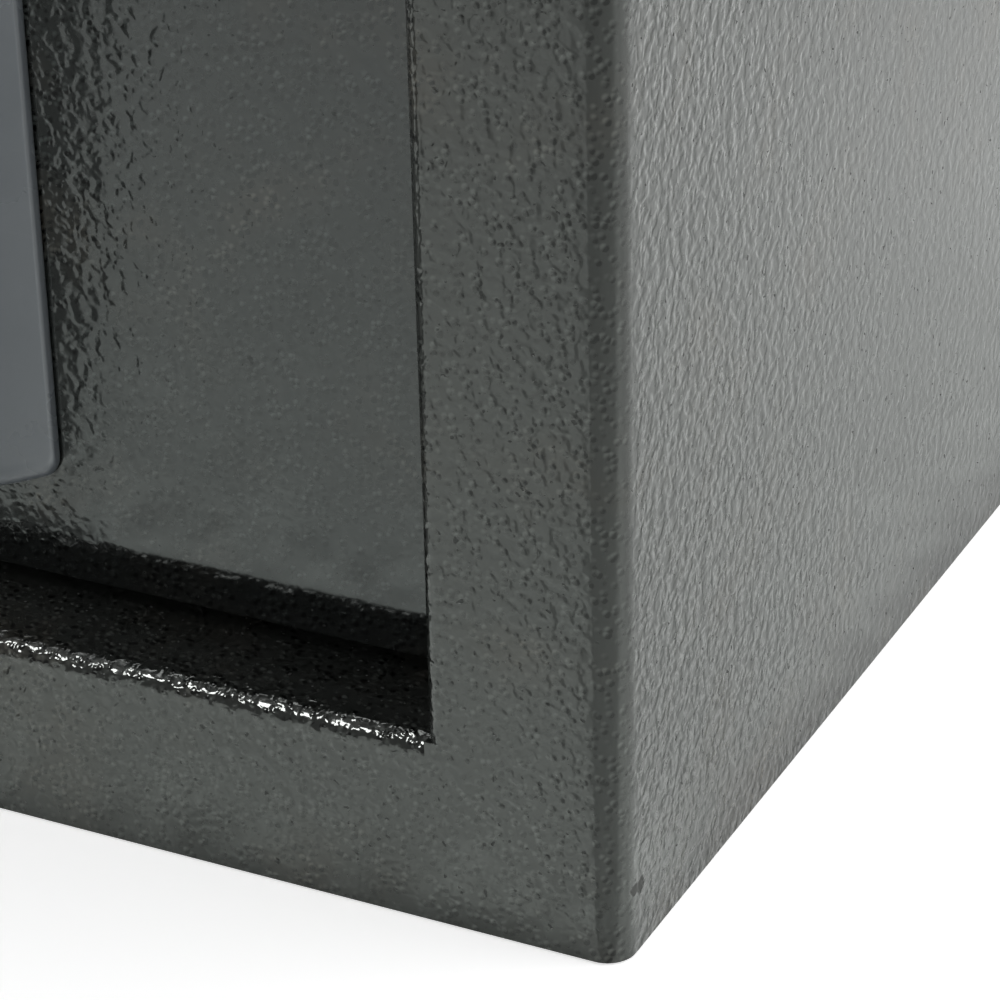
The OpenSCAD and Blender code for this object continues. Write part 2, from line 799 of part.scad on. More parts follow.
module pinion_outline() {
    steps = 6;
    flank = concat([root_r], [for (i = [0 : steps]) base_r + (tip_r - base_r) * i / steps]);
    n = len(flank);
    polygon([for (t = [0 : pinion_teeth - 1]) let(mid = -90 + 360 * t / pinion_teeth) each concat(
        [for (i = [0 : n - 1]) gear_point(flank[i], mid - tooth_half(flank[i]))],
        [for (i = [n - 1 : -1 : 0]) gear_point(flank[i], mid + tooth_half(flank[i]))])]);
}

module pinion() {
    color("silver") difference() {
        along_y(bar_y0, bar_y1) translate([0, knob_z]) pinion_outline();
        rod_y(0, knob_z, spindle_r + fit, bar_y0 - 1, bar_y1 + 1);
    }
}

module spindle() {
    color("silver") {
        rod_y(0, knob_z, spindle_r, knob_y - knob_len + 6, bar_y1 + 4);
        difference() {
            rod_y(0, knob_z, spindle_r + 3, bar_y1 + seat, bar_y1 + 2);
            rod_y(0, knob_z, spindle_r - 0.5, bar_y1, bar_y1 + 3);
        }
    }
}

// Knob: a skirt, a waisted grip and a pointer mark, drawn upright and laid along -Y
module knob() {
    grip_r = knob_d / 2 - 4;
    color("silver") translate([0, knob_y, knob_z]) rotate([90, 0, 0]) difference() {
        rotate_extrude($fn = 72) polygon([
            [spindle_r + fit, 0], [knob_d / 2, 0], [knob_d / 2, 3], [knob_d / 2 - 1.5, 4.5],
            [grip_r, 5.5], [grip_r - 1, knob_len - 2], [grip_r - 3, knob_len],
            [0, knob_len], [0, knob_len - 5.7], [spindle_r + fit, knob_len - 5.7]]);
        for (s = [-1, 1])
            translate([s * 31, 0, 6]) cylinder(r = 24, h = knob_len, $fn = 72);
    }
}

// Bar with its rack, and the lug that the plunger blocks
module bolt_carriage() {
    tooth_p = PI * tooth_module;
    rack_x0 = -bolt_throw - 2.2 * tooth_p;
    slack = TOOTH_SLACK * pitch_r;
    add = 0.85 * tooth_module;
    ded = 1.25 * tooth_module;
    slope = tan(PRESSURE);
    first = ceil(rack_x0 / tooth_p) + 0.5;
    color("slategray") {
        block([bar_x0, bar_x1], [bar_y0, bar_y1],
            [door_mid - bolt_spread - 10, door_mid + bolt_spread + 10]);
        along_y(bar_y0, bar_y1) {
            translate([rack_x0, rack_z0]) square([bar_x0 - rack_x0, rack_bar_h]);
            for (x = [first * tooth_p : tooth_p : 2.6 * tooth_p]) {
                half = tooth_p / 4 - slack;
                translate([x, rack_pitch_z]) polygon([
                    [-half - ded * slope, -ded - 0.1], [-half - ded * slope, -ded],
                    [-half + add * slope, add], [half - add * slope, add],
                    [half + ded * slope, -ded], [half + ded * slope, -ded - 0.1]]);
            }
            translate([lug_x0, rack_z0 - lug_h]) square([lug_w, lug_h]);
        }
    }
}

module solenoid() {
    x0 = plunger_x - solenoid_w / 2;
    color("dimgray") difference() {
        union() {
            block([x0, x0 + solenoid_w], [door_back, bolt_y + 8],
                [solenoid_top - solenoid_h, solenoid_top]);
            block([x0 - 3, x0 + solenoid_w + 3], [door_back, door_back + 1.5],
                [solenoid_top - solenoid_h, solenoid_top]);
        }
        translate([plunger_x, bolt_y, solenoid_top - solenoid_h + 2])
            cylinder(r = plunger_d / 2 + fit, h = solenoid_h);
    }
}

// Blocking plunger with its spring collar and release pin
module plunger() {
    color("silver") {
        translate([plunger_x, bolt_y, solenoid_top - solenoid_h + 4])
            cylinder(r = plunger_d / 2, h = plunger_top - solenoid_top + solenoid_h - 4);
        translate([plunger_x, bolt_y, release_z - plunger_collar_h / 2])
            cylinder(r = plunger_d / 2 + 2.5, h = plunger_collar_h);
        rod_y(plunger_x, release_z, release_r - 0.01, bolt_y, lever_y0 + lever_t + 2);
    }
}

// Spring round the plunger: one unbroken tube whose ends run flat
WIRE_D = 1;
COILS = 4;
COIL_RINGS = 8;
TUBE_SIDES = 6;
spring_z0 = solenoid_top + WIRE_D / 2 + 0.1;
spring_z1 = release_z - plunger_collar_h / 2 - WIRE_D / 2 - 0.1;
spring_r = plunger_d / 2 + WIRE_D / 2 + 0.5;
spring_pitch = (spring_z1 - spring_z0) / COILS;
function coil_point(i) = let(a = 360 * i / COIL_RINGS, t = i / (COILS * COIL_RINGS))
    [spring_r * cos(a), spring_r * sin(a), spring_z0 + (spring_z1 - spring_z0) * t];
function coil_path() = concat(
    [coil_point(0) - [0, WIRE_D, 0]],
    [for (i = [0 : COILS * COIL_RINGS]) coil_point(i)],
    [coil_point(COILS * COIL_RINGS) + [0, WIRE_D, 0]]);
function ring_at(path, i) = let(
    a = path[max(i - 1, 0)],
    b = path[min(i + 1, len(path) - 1)],
    d = (b - a) / norm(b - a),
    up = [0, 0, 1],
    side = cross(up, d) / norm(cross(up, d)),
    lift = cross(d, side)
) [for (k = [0 : TUBE_SIDES - 1]) path[i]
    + WIRE_D / 2 * (cos(360 * k / TUBE_SIDES) * side + sin(360 * k / TUBE_SIDES) * lift)];

module plunger_spring() {
    path = coil_path();
    n = len(path);
    points = [for (i = [0 : n - 1]) each ring_at(path, i)];
    sides = [for (i = [0 : n - 2], k = [0 : TUBE_SIDES - 1], half = [0, 1])
        let(a = i * TUBE_SIDES + k, b = i * TUBE_SIDES + (k + 1) % TUBE_SIDES)
        half == 0 ? [a, b, b + TUBE_SIDES] : [a, b + TUBE_SIDES, a + TUBE_SIDES]];
    last = (n - 1) * TUBE_SIDES;
    caps = [for (k = [1 : TUBE_SIDES - 2], end = [0, 1])
        end == 0 ? [0, k + 1, k] : [last, last + k, last + k + 1]];
    color("silver") translate([plunger_x, bolt_y, 0]) polyhedron(points, concat(sides, caps));
    echo("least gap between coils", spring_pitch - WIRE_D);
}

// Inner cover of the door, with its screw posts, cell window and lid tracks
module door_pan() {
    wx0 = cell_x0 + cell_box_wall;
    wx1 = cell_x0 + cell_box_w - cell_box_wall;
    wz0 = cell_z0 + cell_box_wall;
    wz1 = cell_z0 + cell_box_h - cell_box_wall;
    color("dimgray") difference() {
        union() {
            difference() {
                block([pan_x0, pan_x1], [door_back, pan_y1], [pan_z0, pan_z1]);
                block([pan_x0 + pan_sheet, pan_x1 - pan_sheet], [door_back - 1, pan_y1 - pan_sheet],
                    [pan_z0 + pan_sheet, pan_z1 - pan_sheet]);
            }
            for (x = [post_x0, post_x1], z = [post_z0, post_z1])
                rod_y(x, z, post_r, door_back, pan_y1 - pan_sheet);
            for (m = [0, 1]) translate([0, 0, m == 0 ? cell_z0 : cell_z0 + cell_box_h])
                mirror([0, 0, m]) lid_track();
        }
        block([wx0, wx1], [pan_y1 - pan_sheet - 1, pan_y1 + 1], [wz0, wz1]);
        for (s = [-1, 1])
            rod_x(bolt_y, door_mid + s * bolt_spread, bolt_d / 2 + 0.6, pan_x1 - 3, pan_x1 + 1);
        for (x = [post_x0, post_x1], z = [post_z0, post_z1])
            rod_y(x, z, screw_r + fit, pan_y1 - pan_sheet - 9, pan_y1 + 1);
        rod_y(reset_x, reset_z, reset_r + seat, pan_y1 - pan_sheet - 1, pan_y1 + 1);
    }
}

// Track on the pan that holds one edge of the cell lid
module lid_track() {
    x = [cell_x0, cell_x0 + 2 * cell_box_w + 6];
    block(x, [pan_y1, pan_y1 + lid_t + 0.6], [-3, -1]);
    block(x, [pan_y1 + lid_t + 0.6, pan_y1 + lid_t + 1.8], [-3, 1.5]);
}

module battery_box() {
    y1 = pan_y1 - pan_sheet;
    color("dimgray") difference() {
        block([cell_x0, cell_x0 + cell_box_w], [y1 - cell_box_d, y1], [cell_z0, cell_z0 + cell_box_h]);
        block([cell_x0 + cell_box_wall, cell_x0 + cell_box_w - cell_box_wall],
            [y1 - cell_box_d + cell_box_wall, y1 + 1],
            [cell_z0 + cell_box_wall, cell_z0 + cell_box_h - cell_box_wall]);
    }
}

module batteries() {
    y = pan_y1 - pan_sheet - cell_box_d + cell_box_wall + cell_d / 2 + 0.1;
    color("goldenrod") for (col = [0, 1], row = [0, 1])
        translate([cell_x0 + cell_box_wall + 0.3 + cell_d / 2 + col * (cell_d + 0.3), y,
            cell_z0 + cell_box_wall + 0.3 + row * (cell_len + 0.3)])
            rotate_extrude() polygon([
                [0, 0], [cell_d / 2, 0], [cell_d / 2, cell_len - 1.5], [2.7, cell_len - 1.5],
                [2.7, cell_len], [0, cell_len]]);
}

// Lid that slides in its tracks, with three finger ridges
module battery_cover() {
    y0 = pan_y1 + 0.1;
    color("dimgray") {
        block([cell_x0, cell_x0 + cell_box_w], [y0, y0 + lid_t],
            [cell_z0 - 1 + lid_gap, cell_z0 + cell_box_h + 1 - lid_gap]);
        for (i = [0 : 2])
            block([cell_x0 + 5 + 4 * i, cell_x0 + 7 + 4 * i], [y0 + lid_t, y0 + lid_t + 1],
                [door_mid + 20, door_mid + 50]);
    }
}

module reset_switch() {
    y1 = pan_y1 - pan_sheet;
    color("dimgray") difference() {
        block([reset_x - 8, reset_x + 8], [y1 - 9, y1], [reset_z - 8, reset_z + 8]);
        rod_y(reset_x, reset_z, reset_r + 1.5, y1 - 7.5, y1 + 1);
    }
}

module reset_button() {
    y1 = pan_y1 - pan_sheet;
    color("firebrick") {
        rod_y(reset_x, reset_z, reset_r, y1 - 4, pan_y1 + 2.2);
        rod_y(reset_x, reset_z, reset_r + 1.2, y1 - 5.5, y1 - seat);
    }
}

module drawer_front() {
    color("dimgray") difference() {
        block([-door_x1, door_x1], [face_y, door_back], [bay_z0 + end_gap, bay_z1 - end_gap]);
        for (s = [-1, 1])
            rod_y(s * handle_span / 2, handle_z, 2.7, face_y - 1, door_back + 1);
    }
}

// Open box of the drawer: two cheeks, a back and front tabs; its floor is the tipping one
module drawer_box() {
    pin_at = floor_y + pin_reach;
    color("slategray") {
        for (s = [-1, 1]) scale_x(s) {
            difference() {
                block([tray_x - tray_sheet, tray_x], [door_back, tray_y1], [tray_z0, tray_z1]);
                rod_x(floor_y, floor_z, rod_r + fit, tray_x - 5, tray_x + 1);
                rod_x(pin_at, floor_z, rod_r + 1, tray_x - 5, tray_x + 1);
                block([tray_x - 5, tray_x + 1], [pin_at - rod_r - 1, pin_at + rod_r + 1],
                    [tray_z0 - 1, floor_z]);
            }
            block([tray_x - 14, tray_x - tray_sheet], [door_back, door_back + tray_sheet],
                [tray_z0 + 23, tray_z1]);
        }
        block([-tray_x + tray_sheet, tray_x - tray_sheet], [tray_y1 - tray_sheet, tray_y1],
            [floor_z + 4, tray_z1]);
    }
}

module drawer_rails() {
    color("silver") for (s = [-1, 1]) scale_x(s)
        block([tray_x, tray_x + rail_w], [rail_y0, rail_y1], [rail_z - rail_half, rail_z + rail_half]);
}

module floor_rod() {
    color("silver") rod_x(floor_y, floor_z, rod_r, -cam_x0 + seat, cam_x0 - seat);
}

// Tipping floor: drawn level about the rod, then tipped to its angle at rest
module tip_floor() {
    t = tray_sheet;
    curl = rod_r + 1.5;
    color("lightslategray") translate([0, floor_y, floor_z]) rotate([-tip_angle, 0, 0]) {
        difference() {
            union() {
                rod_x(0, 0, curl, -floor_half, floor_half);
                block([-floor_half, floor_half], [0, floor_len], [-t / 2, t / 2]);
                for (s = [-1, 1]) scale_x(s)
                    along_x(floor_half - t, floor_half) polygon([
                        [6, 0], [14, 12], [pin_reach - 18, 12], [pin_reach - 8, 0]]);
            }
            rod_x(0, 0, rod_r + fit, -floor_half - 1, floor_half + 1);
            for (s = [-1, 1]) scale_x(s)
                rod_x(pin_reach, 0, rod_r + fit, floor_half - pin_hold - fit, floor_half + 1);
        }
        for (s = [-1, 1]) scale_x(s)
            rod_x(pin_reach, 0, rod_r, floor_half - pin_hold, cam_x1 - seat);
    }
}

// Bow handle: two legs, two bends and a straight bar
module drawer_handle() {
    bend = 10;
    r = handle_d / 2;
    y_bar = face_y - handle_out;
    half = handle_span / 2;
    color("silver") difference() {
        union() {
            rod_x(y_bar, handle_z, r, -half + bend, half - bend);
            for (s = [-1, 1]) scale_x(s) {
                rod_y(half, handle_z, r, y_bar + bend, face_y);
                translate([half - bend, y_bar + bend, handle_z]) rotate(-90)
                    rotate_extrude(angle = 90) translate([bend, 0]) circle(r = r);
                rod_y(half, handle_z, r + 2, face_y - 1.5, face_y);
            }
        }
        for (s = [-1, 1]) rod_y(s * half, handle_z, 2.05, face_y - screw_in - 1, face_y + 1);
    }
}

module drawer_screws() {
    color("silver") for (s = [-1, 1]) {
        rod_y(s * handle_span / 2, handle_z, 2, face_y - screw_in, door_back);
        translate([s * handle_span / 2, door_back, handle_z]) rotate([-90, 0, 0]) intersection() {
            cylinder(r = 4.5, h = 2.6);
            translate([0, 0, -3]) sphere(r = 5.6);
        }
    }
}

// One key: a foot held behind the lock plate, a stem and a crowned cap
module key_button(name) {
    i = search([name], KEYS)[0];
    col = i % 3 - 1;
    row = 1.5 - floor(i / 3);
    top_y = plate_y - key_proud;
    color("gainsboro") translate([col * key_pitch_x, 0, keypad_z + row * key_pitch_z]) {
        along_y(foot_y, foot_y + foot_t)
            round_rect(key_w + 2 * foot_lip, key_h + 2 * foot_lip, 3);
        along_y(top_y + 0.8, foot_y) round_rect(key_w, key_h, 2.6);
        hull() {
            along_y(top_y + 0.7, top_y + 0.8) round_rect(key_w, key_h, 2.6, $fn = 24);
            along_y(top_y, top_y + 0.1) round_rect(key_w - 2, key_h - 2, 2, $fn = 24);
        }
    }
}

module key_1() { key_button("1"); }
module key_2() { key_button("2"); }
module key_3() { key_button("3"); }
module key_4() { key_button("4"); }
module key_5() { key_button("5"); }
module key_6() { key_button("6"); }
module key_7() { key_button("7"); }
module key_8() { key_button("8"); }
module key_9() { key_button("9"); }
module key_star() { key_button("star"); }
module key_0() { key_button("0"); }
module key_hash() { key_button("hash"); }

side_left();
side_right();
top_panel();
bottom_panel();
mid_rail();
back_panel();
vault_deck();
drawer_bay();
cam_plate_left();
cam_plate_right();
runners();
anti_fish_teeth();
hinge_pins();
door_plate();
hinge_blocks();
lock_plate();
door_fasteners();
keypad_housing();
keypad_mat();
circuit_board();
indicator_lenses();
spindle_bush();
lock_cylinder();
bolt_guides();
solenoid();
door_pan();
battery_box();
batteries();
battery_cover();
reset_switch();
reset_button();
knob();
spindle();
pinion();
bolt_carriage();
lock_bolts();
plunger();
plunger_spring();
lock_plug();
override_lever();
key_cover();
drawer_front();
drawer_box();
drawer_rails();
tip_floor();
floor_rod();
drawer_handle();
drawer_screws();
key_1();
key_2();
key_3();
key_4();
key_5();
key_6();
key_7();
key_8();
key_9();
key_star();
key_0();
key_hash();
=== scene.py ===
# Drop safe with deposit drawer: materials, dressed pieces, floor, lights and camera
import json
import math
import bpy
import bmesh
from mathutils import Matrix, Vector


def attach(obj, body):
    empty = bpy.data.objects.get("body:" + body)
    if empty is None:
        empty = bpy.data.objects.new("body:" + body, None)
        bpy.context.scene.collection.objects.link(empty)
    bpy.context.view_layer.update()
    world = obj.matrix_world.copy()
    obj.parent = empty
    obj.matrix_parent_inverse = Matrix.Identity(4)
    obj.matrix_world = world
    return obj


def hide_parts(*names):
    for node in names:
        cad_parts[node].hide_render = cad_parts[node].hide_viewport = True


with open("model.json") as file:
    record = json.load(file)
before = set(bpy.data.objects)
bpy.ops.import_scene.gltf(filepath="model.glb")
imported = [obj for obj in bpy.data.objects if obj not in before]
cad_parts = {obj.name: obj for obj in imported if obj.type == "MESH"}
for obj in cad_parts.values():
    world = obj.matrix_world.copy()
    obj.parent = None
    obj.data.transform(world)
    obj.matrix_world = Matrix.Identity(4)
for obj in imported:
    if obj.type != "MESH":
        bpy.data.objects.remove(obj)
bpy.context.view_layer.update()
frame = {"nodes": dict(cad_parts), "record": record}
cadNodes = frame["nodes"]
print("frame loaded:", len(cadNodes), "nodes")

# Places that the dressed pieces share with the construction, in metres
faceY = -0.155
plateY = -0.157
doorBack = -0.150
doorMid = 0.165
keypadZ = 0.213
knobZ = 0.132
lockZ = 0.074


# A dictionary whose values are also read with a dot
class Settings(dict):
    __getattr__ = dict.__getitem__


# Camera
cameraSettings = Settings(
    place=(0.39036, -0.6382, 0.34705), yaw=0.47051, pitch=0.47338, roll=-0.02361, lens=136.708,
    sensor=36, clip=(0.01, 50),
)


def inScene(thing):
    bpy.context.scene.collection.objects.link(thing)
    return thing


def makeCamera(settings):
    data = bpy.data.cameras.new("camera")
    data.lens = settings.lens
    data.sensor_width = settings.sensor
    data.clip_start, data.clip_end = settings.clip
    camera = inScene(bpy.data.objects.new("camera", data))
    turn = Matrix.Rotation(settings.yaw, 4, "Z")
    turn = turn @ Matrix.Rotation(math.pi / 2 - settings.pitch, 4, "X")
    turn = turn @ Matrix.Rotation(settings.roll, 4, "Z")
    camera.matrix_world = Matrix.Translation(settings.place) @ turn
    bpy.context.scene.camera = camera


makeCamera(cameraSettings)


# Small helpers for node trees
def addNode(tree, kind, inputs=None, **settings):
    made = tree.nodes.new(kind)
    for name, value in settings.items():
        setattr(made, name, value)
    fill(tree, made.inputs, inputs or {})
    return made


def fill(tree, sockets, values):
    for key, value in values.items():
        plug(tree, sockets[key], value)


def plug(tree, socket, value):
    if isinstance(value, bpy.types.NodeSocket):
        tree.links.new(value, socket)
    elif value is not None:
        socket.default_value = value


def calc(tree, operation, a, b=None, c=None, clamp=False):
    made = addNode(tree, "ShaderNodeMath", operation=operation, use_clamp=clamp, inputs={0: a, 1: b, 2: c})
    return made.outputs[0]


def vectorCalc(tree, operation, a, b=None):
    made = addNode(tree, "ShaderNodeVectorMath", operation=operation, inputs={0: a, 1: b})
    return made.outputs[1 if operation in ("DOT_PRODUCT", "LENGTH", "DISTANCE") else 0]


def times(tree, *values):
    product = values[0]
    for value in values[1:]:
        product = calc(tree, "MULTIPLY", product, value)
    return product


def remap(tree, value, low, high, newLow=0.0, newHigh=1.0, smooth=False):
    made = addNode(tree, "ShaderNodeMapRange", clamp=True)
    if smooth:
        made.interpolation_type = "SMOOTHSTEP"
    fill(tree, made.inputs, {
        "Value": value, "From Min": low, "From Max": high, "To Min": newLow, "To Max": newHigh})
    return made.outputs["Result"]


def ease(tree, value, *limits):
    return remap(tree, value, *limits, smooth=True)


def axes(tree, vector):
    return addNode(tree, "ShaderNodeSeparateXYZ", {"Vector": vector}).outputs


def mixValue(tree, factor, a, b):
    return addNode(tree, "ShaderNodeMix", data_type="FLOAT", inputs={0: factor, 2: a, 3: b}).outputs[0]


def mix(tree, factor, a, b, blend="MIX"):
    return addNode(tree, "ShaderNodeMix", data_type="RGBA", blend_type=blend, inputs={
        0: factor, 6: fourth(a), 7: fourth(b)}).outputs[2]


# A colour with its fourth part; a single number is a grey
def fourth(colour):
    if isinstance(colour, bpy.types.NodeSocket):
        return colour
    return (*colour, 1.0) if isinstance(colour, tuple) else (colour, colour, colour, 1.0)


def noise(tree, vector, scale, detail=2.0, roughness=0.5, distortion=0.0):
    return addNode(tree, "ShaderNodeTexNoise", {
        "Vector": vector, "Scale": scale, "Detail": detail, "Roughness": roughness,
        "Distortion": distortion}).outputs["Fac"]


# A node group: an input without a default is a vector, and so is each output named in vectors
def newGroup(name, inputs, values, vectors=()):
    tree = bpy.data.node_groups.new(name, "ShaderNodeTree")
    for label, value in inputs.items():
        kind = "NodeSocketFloat" if isinstance(value, float) else "NodeSocketVector"
        socket = tree.interface.new_socket(label, in_out="INPUT", socket_type=kind)
        if value is not None:
            socket.default_value = value
    for labels, kind in ((values, "NodeSocketFloat"), (vectors, "NodeSocketVector")):
        for label in labels:
            tree.interface.new_socket(label, in_out="OUTPUT", socket_type=kind)
    return tree, tree.nodes.new("NodeGroupInput").outputs, tree.nodes.new("NodeGroupOutput").inputs


def useGroup(tree, group, inputs):
    made = tree.nodes.new("ShaderNodeGroup")
    made.node_tree = group
    fill(tree, made.inputs, inputs)
    return made.outputs


# Numbers of the shared effects: a noise is its scale, detail and roughness, and a pair is two limits
effectSettings = Settings(
    beads=Settings(
        scale=640.0, randomness=0.95, slope=(0.52, 0.1), varyNoise=(300.0, 0.0),
        strength=(0.32, 0.64, 0.3, 1.0),
    ),
    hammer=Settings(
        lumpDetail=(1.0, 0.4, 0.3), crown=(0.3, 0.68), waveDetail=(1.0, 0.4), holeNoise=(1100.0, 0.0),
        holes=(0.8, 0.86), pitDepth=-0.8, beside=(0.00022, 0.00022, -0.0003),
        cloudNoise=(14.0, 3.0, 0.55),
    ),
    dust=Settings(
        facing=(0.35, 0.95), patchNoise=(60.0, 5.0, 0.65), patches=(0.42, 0.72),
        speckNoise=(900.0, 2.0), specks=(0.62, 0.74),
    ),
    wear=Settings(samples=4, turn=(0.02, 0.25), breakNoise=(420.0, 4.0, 0.7), breaks=(0.48, 0.62)),
    grain=Settings(
        lineDetail=(3.0, 0.6), turn=(0.4, 0.9, 0.7), stretch=(60.0, 2400.0, 900.0),
        scratchNoise=(1.0, 1.0), scratches=(0.69, 0.74), blotchNoise=(35.0, 4.0, 0.6),
    ),
)


# Small round beads of paint, some stronger than others
def beadValue(tree, at, settings):
    cells = addNode(tree, "ShaderNodeTexVoronoi", {
        "Vector": at, "Scale": settings.scale, "Randomness": settings.randomness})
    bead = ease(tree, cells.outputs["Distance"], *settings.slope)
    return times(tree, bead, remap(tree, noise(tree, at, *settings.varyNoise), *settings.strength))


# Shared effect: the paint's orange peel, as a height, with the beads' lit and shaded flanks, the slow
# clouds and the pits as masks
def makeHammerGroup(settings, beads):
    tree, given, wanted = newGroup("hammerPaint", {
        "Vector": None, "Lump Scale": 600.0, "Wave Scale": 180.0, "Wave Share": 0.8, "Dot Share": 0.3,
        "Pit Share": 1.0}, ("Height", "Shade", "Cloud", "Pit"))
    at = given["Vector"]
    lumps = noise(tree, at, given["Lump Scale"], *settings.lumpDetail)
    crown = ease(tree, lumps, *settings.crown)
    waves = noise(tree, at, given["Wave Scale"], *settings.waveDetail)
    holes = ease(tree, noise(tree, at, *settings.holeNoise), *settings.holes)
    pit = times(tree, holes, given["Pit Share"])
    dots = beadValue(tree, at, beads)
    dotsBeside = beadValue(tree, vectorCalc(tree, "ADD", at, settings.beside), beads)
    rise = calc(tree, "MULTIPLY_ADD", waves, given["Wave Share"], crown)
    rise = calc(tree, "MULTIPLY_ADD", dots, given["Dot Share"], rise)
    fill(tree, wanted, {
        "Height": calc(tree, "MULTIPLY_ADD", pit, settings.pitDepth, rise), "Pit": pit,
        "Shade": calc(tree, "SUBTRACT", dotsBeside, dots),
        "Cloud": noise(tree, at, *settings.cloudNoise)})
    return tree


# Shared effect: dust that lies where a surface looks up
def makeDustGroup(settings):
    tree, given, wanted = newGroup("dust", {"Vector": None, "Amount": 0.3}, ("Mask",))
    at = given["Vector"]
    rise = axes(tree, addNode(tree, "ShaderNodeNewGeometry").outputs["Normal"])["Z"]
    level = ease(tree, rise, *settings.facing)
    patches = remap(tree, noise(tree, at, *settings.patchNoise), *settings.patches)
    specks = remap(tree, noise(tree, at, *settings.speckNoise), *settings.specks)
    either = calc(tree, "MAXIMUM", patches, specks)
    fill(tree, wanted, {"Mask": times(tree, level, either, given["Amount"])})
    return tree


# Shared effect: rubbed edges, from how far the rounded normal turns away from the true one
def makeWearGroup(settings):
    tree, given, wanted = newGroup("edgeWear", {"Vector": None, "Radius": 0.0008}, ("Mask",), ("Normal",))
    bevel = addNode(tree, "ShaderNodeBevel", samples=settings.samples, inputs={"Radius": given["Radius"]})
    rounded = bevel.outputs["Normal"]
    normal = addNode(tree, "ShaderNodeNewGeometry").outputs["Normal"]
    likeness = vectorCalc(tree, "DOT_PRODUCT", rounded, normal)
    edge = remap(tree, calc(tree, "SUBTRACT", 1.0, likeness), *settings.turn)
    broken = remap(tree, noise(tree, given["Vector"], *settings.breakNoise), *settings.breaks)
    fill(tree, wanted, {"Mask": times(tree, edge, broken), "Normal": rounded})
    return tree


# Shared effect: fine lines left by brushing, plating or use, along one axis
def makeGrainGroup(settings):
    tree, given, wanted = newGroup("grain", {
        "Vector": None, "Along": (4.0, 900.0, 900.0), "Scale": 1.0}, ("Lines", "Scratches", "Blotch"))
    at = given["Vector"]
    along = vectorCalc(tree, "MULTIPLY", at, given["Along"])
    turned = addNode(tree, "ShaderNodeMapping", {
        "Vector": at, "Rotation": settings.turn, "Scale": settings.stretch}).outputs[0]
    scratches = remap(tree, noise(tree, turned, *settings.scratchNoise), *settings.scratches)
    fill(tree, wanted, {
        "Lines": noise(tree, along, given["Scale"], *settings.lineDetail),
        "Scratches": scratches, "Blotch": noise(tree, at, *settings.blotchNoise)})
    return tree


hammerGroup = makeHammerGroup(effectSettings.hammer, effectSettings.beads)
dustGroup = makeDustGroup(effectSettings.dust)
wearGroup = makeWearGroup(effectSettings.wear)
grainGroup = makeGrainGroup(effectSettings.grain)


def newMaterial(name, constants):
    material = bpy.data.materials.new(name)
    material.use_nodes = True
    tree = material.node_tree
    shader = tree.nodes["Principled BSDF"].inputs
    fill(tree, shader, constants)
    place = addNode(tree, "ShaderNodeTexCoord").outputs["Object"]
    return material, tree, shader, place


def bump(tree, height, distance, normal=None):
    return addNode(tree, "ShaderNodeBump", {
        "Height": height, "Distance": distance, "Normal": normal}).outputs["Normal"]


# Hammer-texture powder coat. The body's relief is calm round the bends, swollen on the opening's lower
# lip, and richer on the sides near the front and low down. The door's is calm at its lower right corner.
# A chip is a small bare dent near the lower front corner, given by its place and size
coatSettings = Settings(
    ior=1.6, warmNoise=(32.0, 3.0, 0.6), warm=(0.48, 0.74, 0.0, 0.4), warmColour=(0.052, 0.043, 0.032),
    pitShare=0.8, pitColour=0.006, wearShare=0.25, wearColour=(0.11, 0.115, 0.11),
    dustColour=(0.3, 0.29, 0.27), clouds=(0.3, 0.7), dull=0.5, chipNoise=(900.0, 2.0),
    chipRim=(1.7, 1.2), chipShare=0.9, chipColour=(0.01, 0.009, 0.008), chipDepth=-2.5,
)
hammerSettings = Settings(
    body=Settings(
        dark=(0.024, 0.0262, 0.0242), light=(0.036, 0.0392, 0.0362), lump=440.0, depth=0.000105,
        wave=0.6, dots=0.5, shade=2.6, pits=1.0, rough=(0.08, 0.14), dust=0.07,
        tint=(0.965, 1.0, 0.965, 1.0), bend=(0.167, 0.1715, 1.0, 0.25), lipCentre=0.0335,
        lipReach=(0.004, 0.002), lipLevel=(0.1698, 0.1722, -0.55, 0.9), lipEnd=(0.1405, 0.1385),
        sides=(0.1742, 0.1749), alongSide=(-0.16, -0.06, 1.65, 0.45), upward=(0.03, 0.12, 1.35, 0.85),
        chips=((0.175, -0.1682, 0.0121, 0.0014), (0.1748, -0.1703, 0.0124, 0.0011),
            (0.1712, -0.174, 0.0104, 0.0009)),
    ),
    # Painted shade: the door's base tones are set darker than the body's, for the door that sits back in
    # its recess; its paint is also glossier
    door=Settings(
        dark=(0.014, 0.016, 0.0152), light=(0.022, 0.025, 0.0238), lump=400.0, depth=0.00003, wave=1.1,
        dots=0.35, shade=3.2, pits=0.6, rough=(0.045, 0.08), dust=0.04, tint=(0.955, 1.0, 0.985, 1.0),
        # foot: painted shade, darker below a crisp line along the door's foot in its recess
        edge=0.0007, foot=(0.0453, 0.0462, 0.35, 1.0), calm=0.9, calmRight=(0.06, 0.078),
        calmBelow=(0.062, 0.05),
    ),
)


def chipMask(tree, place, chips, coat):
    mask = 0.0
    outer, inner = coat.chipRim
    for x, y, z, size in chips:
        jitter = times(tree, noise(tree, place, *coat.chipNoise), size)
        gap = calc(tree, "ADD", vectorCalc(tree, "DISTANCE", place, (x, y, z)), jitter)
        mask = calc(tree, "MAXIMUM", mask, ease(tree, gap, size * outer, size * inner))
    return mask


def calmedRelief(tree, place, height, settings):
    parts = axes(tree, place)
    right = ease(tree, parts["X"], *settings.calmRight)
    below = ease(tree, parts["Z"], *settings.calmBelow)
    return times(tree, height, calc(tree, "MULTIPLY_ADD", times(tree, right, below), -settings.calm, 1.0))


